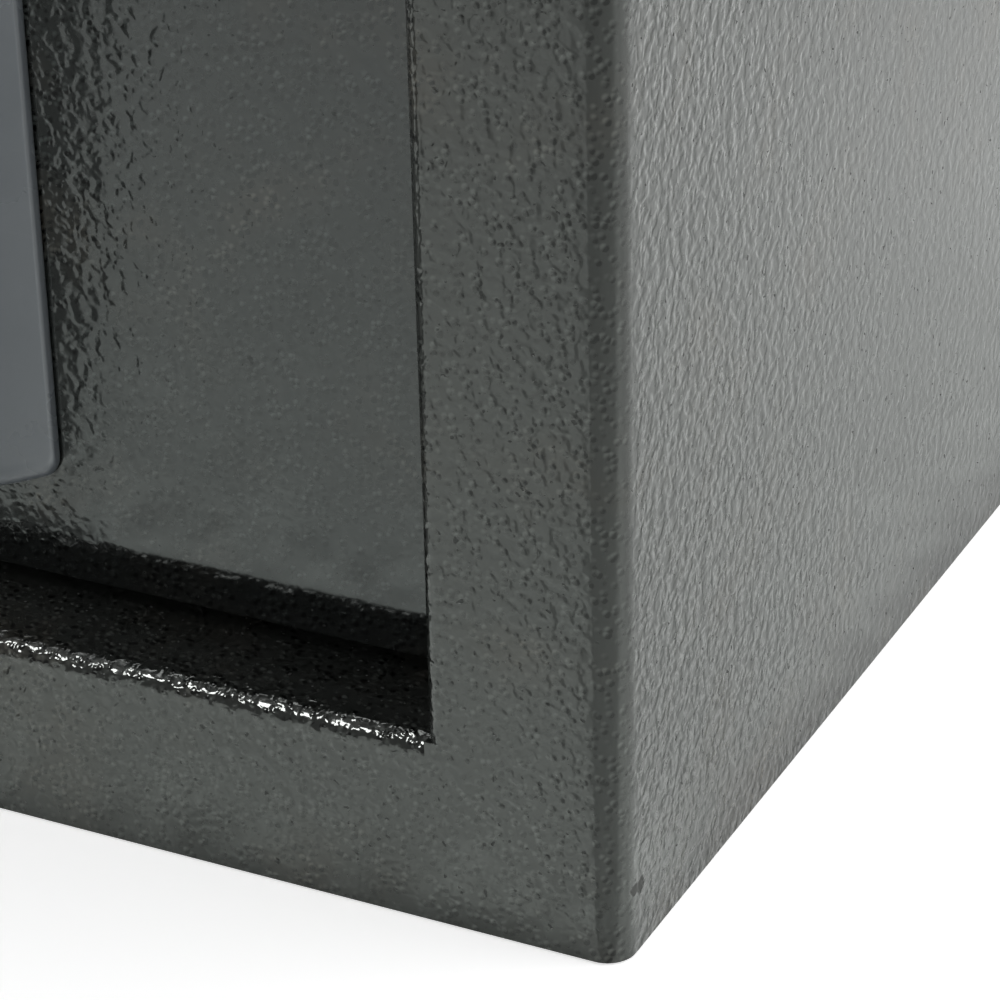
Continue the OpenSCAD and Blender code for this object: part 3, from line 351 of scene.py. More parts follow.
def bodyRelief(tree, place, height, settings):
    parts = axes(tree, place)
    away = axes(tree, vectorCalc(tree, "ABSOLUTE", place))
    calm = ease(tree, calc(tree, "MINIMUM", away["X"], away["Y"]), *settings.bend)
    off = calc(tree, "ABSOLUTE", calc(tree, "SUBTRACT", away["Z"], settings.lipCentre))
    swell = times(tree, ease(tree, off, *settings.lipReach),
        remap(tree, away["Y"], *settings.lipLevel), remap(tree, away["X"], *settings.lipEnd))
    richer = calc(tree, "SUBTRACT", remap(tree, parts["Y"], *settings.alongSide), 1.0)
    onSide = remap(tree, away["X"], *settings.sides)
    return times(tree, height, calc(tree, "ADD", swell, 1.0), calm,
        calc(tree, "MULTIPLY_ADD", onSide, richer, 1.0), remap(tree, parts["Z"], *settings.upward))


def makeHammerMaterial(name, settings, coat):
    material, tree, shader, place = newMaterial(name, {"IOR": coat.ior, "Specular Tint": settings.tint})
    paint = useGroup(tree, hammerGroup, {
        "Vector": place, "Lump Scale": settings.lump, "Wave Share": settings.wave,
        "Dot Share": settings.dots, "Pit Share": settings.pits})
    dust = useGroup(tree, dustGroup, {"Vector": place, "Amount": settings.dust})
    tone = mix(tree, paint["Cloud"], settings.dark, settings.light)
    warm = ease(tree, noise(tree, place, *coat.warmNoise), *coat.warm)
    tone = mix(tree, warm, tone, coat.warmColour)
    # Painted light and shade: each bead's upper-left flank is lightened and its lower-right flank darkened
    # in the colour
    paintedFlankLight = calc(tree, "MAXIMUM", calc(tree, "MULTIPLY_ADD", paint["Shade"], settings.shade, 1.0), 0.0)
    tone = mix(tree, 1.0, tone, paintedFlankLight, "MULTIPLY")
    tone = mix(tree, times(tree, paint["Pit"], coat.pitShare), tone, coat.pitColour)
    dull = calc(tree, "MAXIMUM", dust["Mask"], paint["Pit"])
    height = paint["Height"]
    rounded = None
    # Painted shade: the door's colour darkens below a crisp line along its foot, where the recess shades
    # it
    if "foot" in settings:
        foot = remap(tree, axes(tree, place)["Z"], *settings.foot)
        tone = mix(tree, 1.0, tone, foot, "MULTIPLY")
    if "edge" in settings:
        wear = useGroup(tree, wearGroup, {"Vector": place, "Radius": settings.edge})
        tone = mix(tree, times(tree, wear["Mask"], coat.wearShare), tone, coat.wearColour)
        rounded = wear["Normal"]
    if "chips" in settings:
        chipped = chipMask(tree, place, settings.chips, coat)
        tone = mix(tree, times(tree, chipped, coat.chipShare), tone, coat.chipColour)
        dull = calc(tree, "MAXIMUM", dull, chipped)
        height = calc(tree, "MULTIPLY_ADD", chipped, coat.chipDepth, height)
    if "calm" in settings:
        height = calmedRelief(tree, place, height, settings)
    if "bend" in settings:
        height = bodyRelief(tree, place, height, settings)
    rough = remap(tree, paint["Cloud"], *coat.clouds, *settings.rough)
    fill(tree, shader, {
        "Base Color": mix(tree, dust["Mask"], tone, coat.dustColour),
        "Roughness": calc(tree, "MULTIPLY_ADD", dull, coat.dull, rough, clamp=True),
        "Normal": bump(tree, height, settings.depth, rounded)})
    return material


# Paints, mouldings and metals that need no chips: one recipe with its own settings for each
surfaceSettings = Settings(
    inner_paint=Settings(
        colour=(0.055, 0.057, 0.06), second=(0.08, 0.083, 0.086), rough=(0.34, 0.48), grain=1300.0,
        depth=0.00003, scratch=0.22, scratched=(0.16, 0.165, 0.17), wear=0.3, worn=0.3, dust=0.35,
    ),
    lock_plate_satin=Settings(
        colour=(0.135, 0.153, 0.168), second=(0.15, 0.168, 0.183), rough=(0.24, 0.31), grain=5200.0,
        depth=0.000012, scratch=0.05, scratched=(0.22, 0.23, 0.24), wear=0.1, worn=(0.3, 0.31, 0.33),
        dust=0.06, constants={"IOR": 1.75}, along=(90.0, 90.0, 90.0), lines=0.0,
    ),
    key_plastic=Settings(
        colour=(0.5, 0.51, 0.5), second=(0.58, 0.585, 0.57), rough=(0.38, 0.5), grain=3800.0,
        depth=0.00002, scratch=0.04, scratched=(0.7, 0.7, 0.68), wear=0.1, worn=(0.66, 0.66, 0.64),
        dust=0.1,
    ),
    key_ink=Settings(
        colour=(0.018, 0.02, 0.024), second=(0.03, 0.032, 0.036), rough=(0.35, 0.5), grain=3800.0,
        depth=0.00001, scratch=0.1, scratched=(0.1, 0.1, 0.11), wear=0.15, worn=(0.1, 0.1, 0.11),
        dust=0.0,
    ),
    black_plastic=Settings(
        colour=(0.02, 0.02, 0.022), second=(0.034, 0.034, 0.036), rough=(0.42, 0.58), grain=2100.0,
        depth=0.00005, scratch=0.12, scratched=0.09, wear=0.3, worn=0.08, dust=0.3,
    ),
    rubber=Settings(
        colour=(0.46, 0.47, 0.46), second=(0.56, 0.57, 0.55), rough=(0.5, 0.65), grain=1500.0,
        depth=0.00003, scratch=0.0, scratched=0.6, wear=0.05, worn=(0.62, 0.62, 0.6), dust=0.35,
        constants={"Subsurface Weight": 0.25, "Subsurface Radius": (0.004, 0.004, 0.004)},
    ),
    red_plastic=Settings(
        colour=(0.46, 0.025, 0.018), second=(0.56, 0.045, 0.03), rough=(0.22, 0.34), grain=2500.0,
        depth=0.00002, scratch=0.06, scratched=(0.66, 0.2, 0.16), wear=0.12, worn=(0.66, 0.16, 0.12),
        dust=0.1,
    ),
    zinc_steel=Settings(
        colour=(0.52, 0.525, 0.53), second=(0.66, 0.655, 0.63), rough=(0.26, 0.4), grain=1800.0,
        depth=0.000012, scratch=0.35, scratched=0.78, wear=0.45, worn=0.76, dust=0.16, metal=1.0,
    ),
    dark_steel=Settings(
        colour=(0.13, 0.13, 0.135), second=0.19, rough=(0.32, 0.46), grain=1500.0, depth=0.00002,
        scratch=0.25, scratched=0.36, wear=0.55, worn=0.42, dust=0.15, metal=1.0,
    ),
    chrome=Settings(
        colour=(0.78, 0.79, 0.8), second=(0.84, 0.85, 0.86), rough=(0.04, 0.13), grain=700.0,
        depth=0.000003, scratch=0.12, scratched=(0.62, 0.62, 0.63), wear=0.0, worn=0.8, dust=0.05,
        metal=1.0,
    ),
    brass=Settings(
        colour=(0.62, 0.44, 0.19), second=(0.76, 0.58, 0.3), rough=(0.22, 0.36), grain=2600.0,
        depth=0.00001, scratch=0.2, scratched=(0.86, 0.72, 0.44), wear=0.35, worn=(0.86, 0.7, 0.42),
        dust=0.06, metal=1.0,
    ),
)


surfaceDefaults = Settings(
    metal=0.0, constants={}, along=(6.0, 700.0, 700.0), edge=0.0004, lines=0.3, spotDetail=(2.0, 0.55),
    lineShare=0.4, blotchShare=0.6, limits=(0.35, 0.65), dustColour=(0.33, 0.32, 0.29), dull=0.5,
)


def makeSurface(name, settings):
    constants = {"IOR": 1.5, "Metallic": settings.metal, **settings.constants}
    material, tree, shader, place = newMaterial(name, constants)
    grain = useGroup(tree, grainGroup, {"Vector": place, "Along": settings.along})
    wear = useGroup(tree, wearGroup, {"Vector": place, "Radius": settings.edge})
    dust = useGroup(tree, dustGroup, {"Vector": place, "Amount": settings.dust})
    spots = noise(tree, place, settings.grain, *settings.spotDetail)
    blotch = times(tree, grain["Blotch"], settings.blotchShare)
    blend = calc(tree, "MULTIPLY_ADD", grain["Lines"], settings.lineShare, blotch)
    tone = mix(tree, remap(tree, blend, *settings.limits), settings.colour, settings.second)
    scratch = times(tree, grain["Scratches"], settings.scratch)
    tone = mix(tree, scratch, tone, settings.scratched)
    tone = mix(tree, times(tree, wear["Mask"], settings.wear), tone, settings.worn)
    rough = remap(tree, blend, *settings.limits, *settings.rough)
    height = calc(tree, "MULTIPLY_ADD", grain["Lines"], settings.lines, spots)
    fill(tree, shader, {
        "Base Color": mix(tree, dust["Mask"], tone, settings.dustColour),
        "Roughness": calc(tree, "MULTIPLY_ADD", dust["Mask"], settings.dull, rough, clamp=True),
        "Normal": bump(tree, height, settings.depth, wear["Normal"])})
    return material


# Green board: solder mask over fine tracks, with bare pads
boardSettings = Settings(
    tracks={"Scale": 160.0, "Mortar Size": 0.06, "Mortar Smooth": 0.1}, padScale=260.0,
    pad=(0.16, 0.12), mask=(0.012, 0.085, 0.035), track=(0.03, 0.16, 0.07), padColour=(0.62, 0.52, 0.3),
    padShare=0.8, padMetal=0.7, cloudNoise=(90.0, 3.0), rough=(0.3, 0.7, 0.22, 0.4), depth=0.00003,
)


def makeBoardMaterial(settings):
    material, tree, shader, place = newMaterial("board", {"IOR": 1.5})
    laid = addNode(tree, "ShaderNodeMapping", {"Vector": place, "Rotation": (math.pi / 2, 0, 0)})
    tracks = addNode(tree, "ShaderNodeTexBrick", {"Vector": laid.outputs[0], **settings.tracks})
    pads = addNode(tree, "ShaderNodeTexVoronoi", {"Vector": place, "Scale": settings.padScale})
    pad = remap(tree, pads.outputs["Distance"], *settings.pad)
    tone = mix(tree, tracks.outputs["Fac"], settings.mask, settings.track)
    tone = mix(tree, times(tree, pad, settings.padShare), tone, settings.padColour)
    fill(tree, shader, {
        "Base Color": tone, "Metallic": times(tree, pad, settings.padMetal),
        "Roughness": remap(tree, noise(tree, place, *settings.cloudNoise), *settings.rough),
        "Normal": bump(tree, calc(tree, "ADD", tracks.outputs["Fac"], pad), settings.depth)})
    return material


# Indicator lenses: one colour for each of the three, chosen by its place across the plate
lensSettings = Settings(
    split=0.008, left=(0.45, 0.02, 0.015), middle=(0.55, 0.36, 0.03), right=(0.03, 0.34, 0.09),
    facets=1900.0, shadeShare=0.4, shade=0.02, depth=0.00004,
    constants={"IOR": 1.49, "Roughness": 0.12, "Transmission Weight": 0.35, "Coat Weight": 0.6,
        "Coat Roughness": 0.04},
)


def makeLensMaterial(settings):
    material, tree, shader, place = newMaterial("lens", settings.constants)
    across = axes(tree, place)["X"]
    left = calc(tree, "LESS_THAN", across, -settings.split)
    right = calc(tree, "GREATER_THAN", across, settings.split)
    tone = mix(tree, left, settings.middle, settings.left)
    tone = mix(tree, right, tone, settings.right)
    cells = addNode(tree, "ShaderNodeTexVoronoi", {"Vector": place, "Scale": settings.facets})
    facet = cells.outputs["Distance"]
    # Painted shade: each facet darkens away from its centre
    tone = mix(tree, times(tree, facet, settings.shadeShare), tone, settings.shade)
    fill(tree, shader, {"Base Color": tone, "Normal": bump(tree, facet, settings.depth)})
    return material


# Cell sleeves: black below and copper above, with the steel button left bare
cellSettings = Settings(
    first=0.1523, pitch=0.0508, split=0.66, button=0.972, wobbleNoise=(300.0, 2.0),
    black=(0.014, 0.014, 0.015), copper=(0.48, 0.22, 0.08), brightCopper=(0.6, 0.31, 0.13), steel=0.6,
    metal=0.6, rough=(0.3, 0.7, 0.2, 0.34), depth=0.00003,
    constants={"IOR": 1.5, "Coat Weight": 0.5, "Coat Roughness": 0.08},
)


def makeCellMaterial(settings):
    material, tree, shader, place = newMaterial("cell_wrap", settings.constants)
    rise = calc(tree, "SUBTRACT", axes(tree, place)["Z"], settings.first)
    share = calc(tree, "FRACT", calc(tree, "DIVIDE", rise, settings.pitch))
    wobble = noise(tree, place, *settings.wobbleNoise)
    upper = calc(tree, "GREATER_THAN", share, settings.split)
    button = calc(tree, "GREATER_THAN", share, settings.button)
    copper = mix(tree, wobble, settings.copper, settings.brightCopper)
    tone = mix(tree, upper, settings.black, copper)
    fill(tree, shader, {
        "Base Color": mix(tree, button, tone, settings.steel),
        "Metallic": calc(tree, "MAXIMUM", times(tree, upper, settings.metal), button),
        "Roughness": remap(tree, wobble, *settings.rough),
        "Normal": bump(tree, wobble, settings.depth)})
    return material


paints = {}
for name, settings in surfaceSettings.items():
    paints[name] = makeSurface(name, Settings(surfaceDefaults, **settings))
paints["hammer_paint"] = makeHammerMaterial("hammer_paint", hammerSettings.body, coatSettings)
paints["door_paint"] = makeHammerMaterial("door_paint", hammerSettings.door, coatSettings)
paints["board"] = makeBoardMaterial(boardSettings)
paints["lens"] = makeLensMaterial(lensSettings)
paints["cell_wrap"] = makeCellMaterial(cellSettings)
print("materials made:", len(paints))


# A Geometry Nodes group with a mesh in and out, and the identifiers of its inputs
def newGeometryGroup(name, inputs):
    tree = bpy.data.node_groups.new(name, "GeometryNodeTree")
    identifiers = {}
    for label, (kind, value) in {"Geometry": ("Geometry", None), **inputs}.items():
        socket = tree.interface.new_socket(label, in_out="INPUT", socket_type="NodeSocket" + kind)
        if value is not None:
            socket.default_value = value
        identifiers[label] = socket.identifier
    tree.interface.new_socket("Geometry", in_out="OUTPUT", socket_type="NodeSocketGeometry")
    given = tree.nodes.new("NodeGroupInput").outputs
    return tree, given, tree.nodes.new("NodeGroupOutput").inputs["Geometry"], identifiers


def changed(tree, kind, geometry, inputs=None, **settings):
    return addNode(tree, kind, {"Geometry": geometry, **(inputs or {})}, **settings).outputs[0]


# Smooth shading for the carried-over nodes: doubles merged, edges sharp above a set angle
mergeDistance = 0.000002
smoothSettings = Settings(sharpAngle=math.radians(32))


def makeSmoothGroup(settings):
    tree, given, wanted = newGeometryGroup("smoothByAngle", {
        "Sharp Angle": ("Float", settings.sharpAngle)})[:3]
    merged = changed(tree, "GeometryNodeMergeByDistance", given["Geometry"], {"Distance": mergeDistance})
    turned = addNode(tree, "GeometryNodeInputMeshEdgeAngle").outputs["Unsigned Angle"]
    sharp = addNode(tree, "FunctionNodeCompare", data_type="FLOAT", operation="GREATER_THAN", inputs={
        0: turned, 1: given["Sharp Angle"]}).outputs[0]
    faces = changed(tree, "GeometryNodeSetShadeSmooth", merged, {"Shade Smooth": True}, domain="FACE")
    plug(tree, wanted, changed(tree, "GeometryNodeSetShadeSmooth", faces, {
        "Selection": sharp, "Shade Smooth": False}, domain="EDGE"))
    return tree


smoothGroup = makeSmoothGroup(smoothSettings)


# Finish of each carried-over node that isn't the record's own slot
finishOverrides = {
    "door_plate": "door_paint", "drawer_front": "door_paint", "hinge_blocks": "door_paint",
    "solenoid": "dark_steel", "bolt_carriage": "dark_steel",
}


def dressNodes():
    for row in frame["record"]["subparts"]:
        name = row["node"]
        thing = cadNodes[name]
        paint = paints[finishOverrides.get(name, row["material_slot"])]
        thing.data.materials.clear()
        thing.data.materials.append(paint)
        thing.modifiers.new("smooth", "NODES").node_group = smoothGroup


dressNodes()
print("nodes dressed")


# Helpers for the pieces that are made here
def linked(name, mesh, materials=()):
    thing = inScene(bpy.data.objects.new(name, mesh))
    if len(mesh.materials):
        mesh.materials.clear()
    for material in materials:
        mesh.materials.append(material)
    return thing


def baked(thing, name, materials=()):
    graph = bpy.context.evaluated_depsgraph_get()
    mesh = bpy.data.meshes.new_from_object(thing.evaluated_get(graph), depsgraph=graph)
    old = thing.data
    bpy.data.objects.remove(thing)
    if isinstance(old, bpy.types.Mesh) and old.users == 0:
        bpy.data.meshes.remove(old)
    return linked(name, mesh, materials)


def cleanMesh(mesh, flat=0.0):
    work = bmesh.new()
    work.from_mesh(mesh)
    bmesh.ops.remove_doubles(work, verts=work.verts, dist=mergeDistance)
    if flat:
        bmesh.ops.dissolve_limit(work, angle_limit=flat, verts=work.verts, edges=work.edges)
    bmesh.ops.recalc_face_normals(work, faces=work.faces)
    work.to_mesh(mesh)
    work.free()


def smoothByAngle(mesh, degrees):
    limit = math.radians(degrees)
    work = bmesh.new()
    work.from_mesh(mesh)
    for face in work.faces:
        face.smooth = True
    for edge in work.edges:
        edge.smooth = len(edge.link_faces) == 2 and edge.calc_face_angle(0.0) < limit
    work.to_mesh(mesh)
    work.free()


# Faces that meet at less than this angle, in radians, become one
flatAngle = 0.001


def cadCopy(node, name):
    mesh = cadNodes[node].data.copy()
    cleanMesh(mesh, flatAngle)
    return linked(name, mesh)


def combine(thing, other, operation):
    modifier = thing.modifiers.new("combine", "BOOLEAN")
    modifier.operation = operation
    modifier.solver = "EXACT"
    modifier.object = other
    made = baked(thing, thing.name)
    mesh = other.data
    bpy.data.objects.remove(other)
    if mesh.users == 0:
        bpy.data.meshes.remove(mesh)
    return made


def roundEdges(thing, name, materials, width, segments=3, degrees=40):
    cleanMesh(thing.data, flatAngle)
    modifier = thing.modifiers.new("round", "BEVEL")
    modifier.width = width
    modifier.segments = segments
    modifier.limit_method = "ANGLE"
    modifier.angle_limit = math.radians(degrees)
    for face in thing.data.polygons:
        face.use_smooth = True
    weighted = thing.modifiers.new("weighted", "WEIGHTED_NORMAL")
    weighted.weight = 100
    weighted.keep_sharp = True
    return baked(thing, name, materials)


def finishPiece(thing, body, slot, *nodes):
    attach(thing, body)
    if nodes:
        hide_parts(*nodes)


# The cabinet's welded shell: its sheets become one skin, so that no seam shows at the ground corners
shellSettings = Settings(
    sheets=("side_right", "side_left", "top_panel", "bottom_panel", "mid_rail", "back_panel"),
    edge=0.0007,
)


def makeShell(settings):
    names = settings.sheets
    shell = cadCopy(names[0], "cabinetShell")
    for name in names[1:]:
        shell = combine(shell, cadCopy(name, "sheet"), "UNION")
    shell = roundEdges(shell, "cabinetShell", [paints["hammer_paint"]], settings.edge)
    finishPiece(shell, "cabinet", "hammer_paint", *names)
    return shell


makeShell(shellSettings)
print("shell made")


# Outlines and lofts for the pieces that are made here
def arcPoints(centre, radius, start, end, count):
    points = []
    for step in range(count + 1):
        angle = start + (end - start) * step / count
        points.append((centre[0] + radius * math.cos(angle), centre[1] + radius * math.sin(angle)))
    return points


def roundRect(width, height, radius, count=8):
    points = []
    for quarter, (sideX, sideZ) in enumerate(((1, 1), (-1, 1), (-1, -1), (1, -1))):
        centre = (sideX * (width / 2 - radius), sideZ * (height / 2 - radius))
        start = quarter * math.pi / 2
        points += arcPoints(centre, radius, start, start + math.pi / 2, count)
    return points


def loft(name, rings, materials=()):
    work = bmesh.new()
    loops = [[work.verts.new(point) for point in ring] for ring in rings]
    count = len(rings[0])
    for low, high in zip(loops, loops[1:]):
        for i in range(count):
            j = (i + 1) % count
            work.faces.new((low[i], low[j], high[j], high[i]))
    work.faces.new(loops[0])
    work.faces.new(loops[-1])
    bmesh.ops.remove_doubles(work, verts=work.verts, dist=0.000001)
    bmesh.ops.recalc_face_normals(work, faces=work.faces)
    mesh = bpy.data.meshes.new(name)
    work.to_mesh(mesh)
    work.free()
    return linked(name, mesh, materials)


def facing(points, y, x=0.0, z=0.0):
    return [(x + px, y, z + pz) for px, pz in points]


def joined(name, things, materials):
    work = bmesh.new()
    for thing, slotIndex in things:
        start = len(work.faces)
        work.from_mesh(thing.data)
        work.faces.ensure_lookup_table()
        for face in work.faces[start:]:
            face.material_index = slotIndex
        bpy.data.objects.remove(thing)
    mesh = bpy.data.meshes.new(name)
    work.to_mesh(mesh)
    work.free()
    return linked(name, mesh, materials)


def fullCircle(radius, count, x=0):
    return arcPoints((x, 0), radius, 0, 2 * math.pi * (count - 1) / count, count - 1)


def prism(name, outline, low, high, x, z, materials=()):
    return loft(name, [facing(outline, low, x, z), facing(outline, high, x, z)], materials)


def cylinderY(name, x, z, radius, low, high, count=48):
    return prism(name, fullCircle(radius, count), low, high, x, z)


# Lock plate: arched ends, a rolled rim, and windows for the keys, lenses, knob and override lock
plateSettings = Settings(
    width=0.122, height=0.242, rise=0.0135, corner=0.005, leastCorner=0.0005, rim=0.0046,
    sideShare=0.19, under=(0.0004, 0.0005), rimSteps=14, archSteps=40, cornerSteps=12,
    windowCorner=0.003, cutRoom=0.002, round=(0.00025, 2, 50),
    holes=((0, knobZ, 0.0044), (0, lockZ, 0.0083), (-0.016, 0.266, 0.0026), (0, 0.266, 0.0026),
        (0.016, 0.266, 0.0026)), rivetRise=0.0135, rivetRadius=0.0015, rivetProud=0.0046,
    studPlaces=(0.05, 0.09), studRadius=0.002, studPast=0.006,
)
keySettings = Settings(
    width=0.02, height=0.016, pitchX=0.026, pitchZ=0.022, corner=0.0026, room=0.0004, proud=0.0025,
    dish=0.00032, shoulder=0.0009, shoulderSteps=6, dishSteps=8, dishShrink=0.96, flange=0.0024,
    flangeCorner=0.003, flangeThick=0.0015, footRoom=0.0003, ink=0.00012, signSize=0.0122,
    signBold=0.0003, signSteps=6, signSink=(0.9, 0.3), sharpDegrees=50,
)
sharpDegrees = 40


def keyPlace(row, column, settings):
    return column * settings.pitchX, keypadZ + (1.5 - row) * settings.pitchZ


def plateOutline(inset, settings):
    width, height, rise = settings.width, settings.height, settings.rise
    arch = (width * width / 4 + rise * rise) / (2 * rise)
    big = arch - inset
    small = max(settings.corner - inset, settings.leastCorner)
    cornerX = width / 2 - inset * settings.sideShare - small
    lift = height / 2 - arch
    cornerZ = lift + math.sqrt((big - small) ** 2 - cornerX ** 2)
    turn = math.atan2(cornerZ - lift, cornerX)
    upper = arcPoints((cornerX, cornerZ), small, 0, turn, settings.cornerSteps)
    upper += arcPoints((0, lift), big, turn, math.pi - turn, settings.archSteps)[1:]
    upper += arcPoints((-cornerX, cornerZ), small, math.pi - turn, math.pi, settings.cornerSteps)[1:]
    return upper + [(-x, -z) for x, z in upper]


def makeLockPlate(settings, keys):
    thick = faceY - plateY
    lift, under = settings.under
    foot = plateOutline(under, Settings(settings, sideShare=1.0))
    rings = [facing(foot, faceY, 0, doorMid), facing(foot, faceY - lift, 0, doorMid)]
    for step in range(settings.rimSteps + 1):
        angle = math.pi / 2 * step / settings.rimSteps
        inset = settings.rim * (1 - math.cos(angle))
        height = lift + (thick - lift) * math.sin(angle)
        rings.append(facing(plateOutline(inset, settings), faceY - height, 0, doorMid))
    plate = loft("lockPlate", rings)
    room = 2 * keys.room
    window = roundRect(keys.width + room, keys.height + room, settings.windowCorner)
    front, back = plateY - settings.cutRoom, faceY + settings.cutRoom
    for row in range(4):
        for column in (-1, 0, 1):
            cutter = prism("cutter", window, front, back, *keyPlace(row, column, keys))
            plate = combine(plate, cutter, "DIFFERENCE")
    for x, z, radius in settings.holes:
        plate = combine(plate, cylinderY("cutter", x, z, radius, front, back), "DIFFERENCE")
    plate = roundEdges(plate, "lockPlate", [paints["lock_plate_satin"]], *settings.round)
    fixings = [cylinderY("rivet", 0, lockZ + settings.rivetRise, settings.rivetRadius,
        plateY - settings.rivetProud, plateY)]
    across, along = settings.studPlaces
    for x in (-across, across):
        for z in (doorMid - along, doorMid + along):
            fixings.append(
                cylinderY("stud", x, z, settings.studRadius, faceY, doorBack + settings.studPast))
    for thing in fixings:
        smoothByAngle(thing.data, sharpDegrees)
    parts = [(plate, 0)] + [(thing, 1) for thing in fixings]
    plate = joined("lockPlate", parts, [paints["lock_plate_satin"], paints["zinc_steel"]])
    finishPiece(plate, "door", "lock_plate_satin", "lock_plate")


makeLockPlate(plateSettings, keySettings)
print("lock plate made")


# Keys: a foot, a stem and a dished cap, with a raised generic numeral or sign
keyNames = ["1", "2", "3", "4", "5", "6", "7", "8", "9", "star", "0", "hash"]
keySigns = {"star": "*", "hash": "#"}


def makeSign(sign, x, z, y, settings):
    curve = bpy.data.curves.new("sign", "FONT")
    curve.body = sign
    curve.align_x = "CENTER"
    curve.align_y = "CENTER"
    curve.size = settings.signSize
    curve.extrude = settings.ink
    curve.resolution_u = settings.signSteps
    curve.offset = settings.signBold
    made = baked(inScene(bpy.data.objects.new("sign", curve)), "sign")
    low, high = [
        Vector([pick(v.co[i] for v in made.data.vertices) for i in range(3)]) for pick in (min, max)]
    turn = Matrix.Rotation(math.pi / 2, 4, "X")
    made.data.transform(Matrix.Translation((x, y, z)) @ turn @ Matrix.Translation(-(low + high) / 2))
    cleanMesh(made.data)
    return made


def makeKey(index, name, settings):
    x, z = keyPlace(index // 3, index % 3 - 1, settings)
    top = plateY - settings.proud
    width, height, corner = settings.width, settings.height, settings.corner
    foot = faceY + settings.footRoom
    flange = roundRect(width + settings.flange, height + settings.flange, settings.flangeCorner)
    rings = [facing(flange, foot + settings.flangeThick, x, z), facing(flange, foot, x, z),
        facing(roundRect(width, height, corner), foot, x, z)]
    shoulder, steps = settings.shoulder, settings.shoulderSteps
    for step in range(steps + 1):
        angle = math.pi / 2 * step / steps
        inset = shoulder * (1 - math.cos(angle))
        y = top + shoulder * (1 - math.sin(angle))
        rings.append(facing(roundRect(width - 2 * inset, height - 2 * inset, corner - inset), y, x, z))
    face = roundRect(width - 2 * shoulder, height - 2 * shoulder, corner - shoulder)
    for step in range(1, settings.dishSteps + 1):
        share = step / settings.dishSteps
        dish = settings.dish * (1 - (1 - share) ** 2)
        scale = 1 - share * settings.dishShrink
        rings.append(facing([(px * scale, pz * scale) for px, pz in face], top + dish, x, z))
    cap = loft("cap", rings)
    smoothByAngle(cap.data, settings.sharpDegrees)
    dishShare, inkShare = settings.signSink
    signY = top + settings.dish * dishShare - settings.ink * inkShare
    sign = makeSign(keySigns.get(name, name), x, z, signY, settings)
    key = joined("keyCap_" + name, [(cap, 0), (sign, 1)], [paints["key_plastic"], paints["key_ink"]])
    finishPiece(key, "button_" + name, "key_plastic", "key_" + name)


for index, name in enumerate(keyNames):
    makeKey(index, name, keySettings)
print("keys made")


# Knob: a lathe-turned skirt and a waisted grip, with fine ribs round the skirt and a pointer line
knobSettings = Settings(
    lift=0.0005, radius=0.023, length=0.024, skirt=0.0034, spindle=0.00406, segments=144,
    hem=(0.0006, 0.0005), skirtEdge=0.0009, skirtRound=(0.0014, 0.0012, 6), gripInset=0.004,
    waist=((0.0014, 0.0047), (0.0004, 0.0053), (0.0, 0.0062)), capInset=0.0008, capEdge=0.003,
    capRound=(0.0026, 0.003, 8), face=((0.0098, 0.0), (0.0094, 0.0005), (0.006, 0.0008), (0.0, 0.0009)),
    tip=0.00001, cutRadius=0.024, cutOut=0.031, cutSteps=96, cutFrom=0.0062, cutPast=0.004,
    round=(0.0005, 3, 45), line=(0.0011, 0.0095, 0.0005), lineUp=0.0095, lineDepth=0.0006,
    lineProud=0.00004, ribs=90, ribRadius=0.00042, ribLength=0.0026, ribSink=0.0001,
)
knobBaseY = plateY - knobSettings.lift


# Points of a quarter round that turns inward from the side to the top
def roundOver(radius, height, inward, upward, steps):
    turns = [math.pi / 2 * step / steps for step in range(1, steps + 1)]
    return [(radius - inward * (1 - math.cos(turn)), height + upward * math.sin(turn)) for turn in turns]


def makeKnob(settings):
    radius, length = settings.radius, settings.length
    grip = radius - settings.gripInset
    cap, capY = grip - settings.capInset, length - settings.capEdge
    skirtY = settings.skirt - settings.skirtEdge
    hemIn, hemUp = settings.hem
    profile = [(settings.spindle, 0.0), (radius - hemIn, 0.0), (radius, hemUp), (radius, skirtY)]
    profile += roundOver(radius, skirtY, *settings.skirtRound)
    profile += [(grip + out, height) for out, height in settings.waist] + [(cap, capY)]
    profile += roundOver(cap, capY, *settings.capRound)
    profile += [(out, length - drop) for out, drop in settings.face]
    knob = loft("knobTurned", [
        facing(fullCircle(max(out, settings.tip), settings.segments), knobBaseY - height, 0, knobZ)
        for out, height in profile])
    for side in (-1, 1):
        circle = fullCircle(settings.cutRadius, settings.cutSteps, side * settings.cutOut)
        low, high = knobBaseY - settings.cutFrom, knobBaseY - length - settings.cutPast
        knob = combine(knob, prism("cutter", circle, low, high, 0, knobZ), "DIFFERENCE")
    knob = roundEdges(knob, "knobTurned", [paints["chrome"]], *settings.round)
    finishPiece(knob, "knob_set", "chrome", "knob")
    faceTop = knobBaseY - length
    pointer = prism("knobPointer", roundRect(*settings.line), faceTop + settings.lineDepth,
        faceTop - settings.lineProud, 0, knobZ + settings.lineUp, [paints["key_ink"]])
    smoothByAngle(pointer.data, sharpDegrees)
    finishPiece(pointer, "knob_set", "key_plastic")


makeKnob(knobSettings)


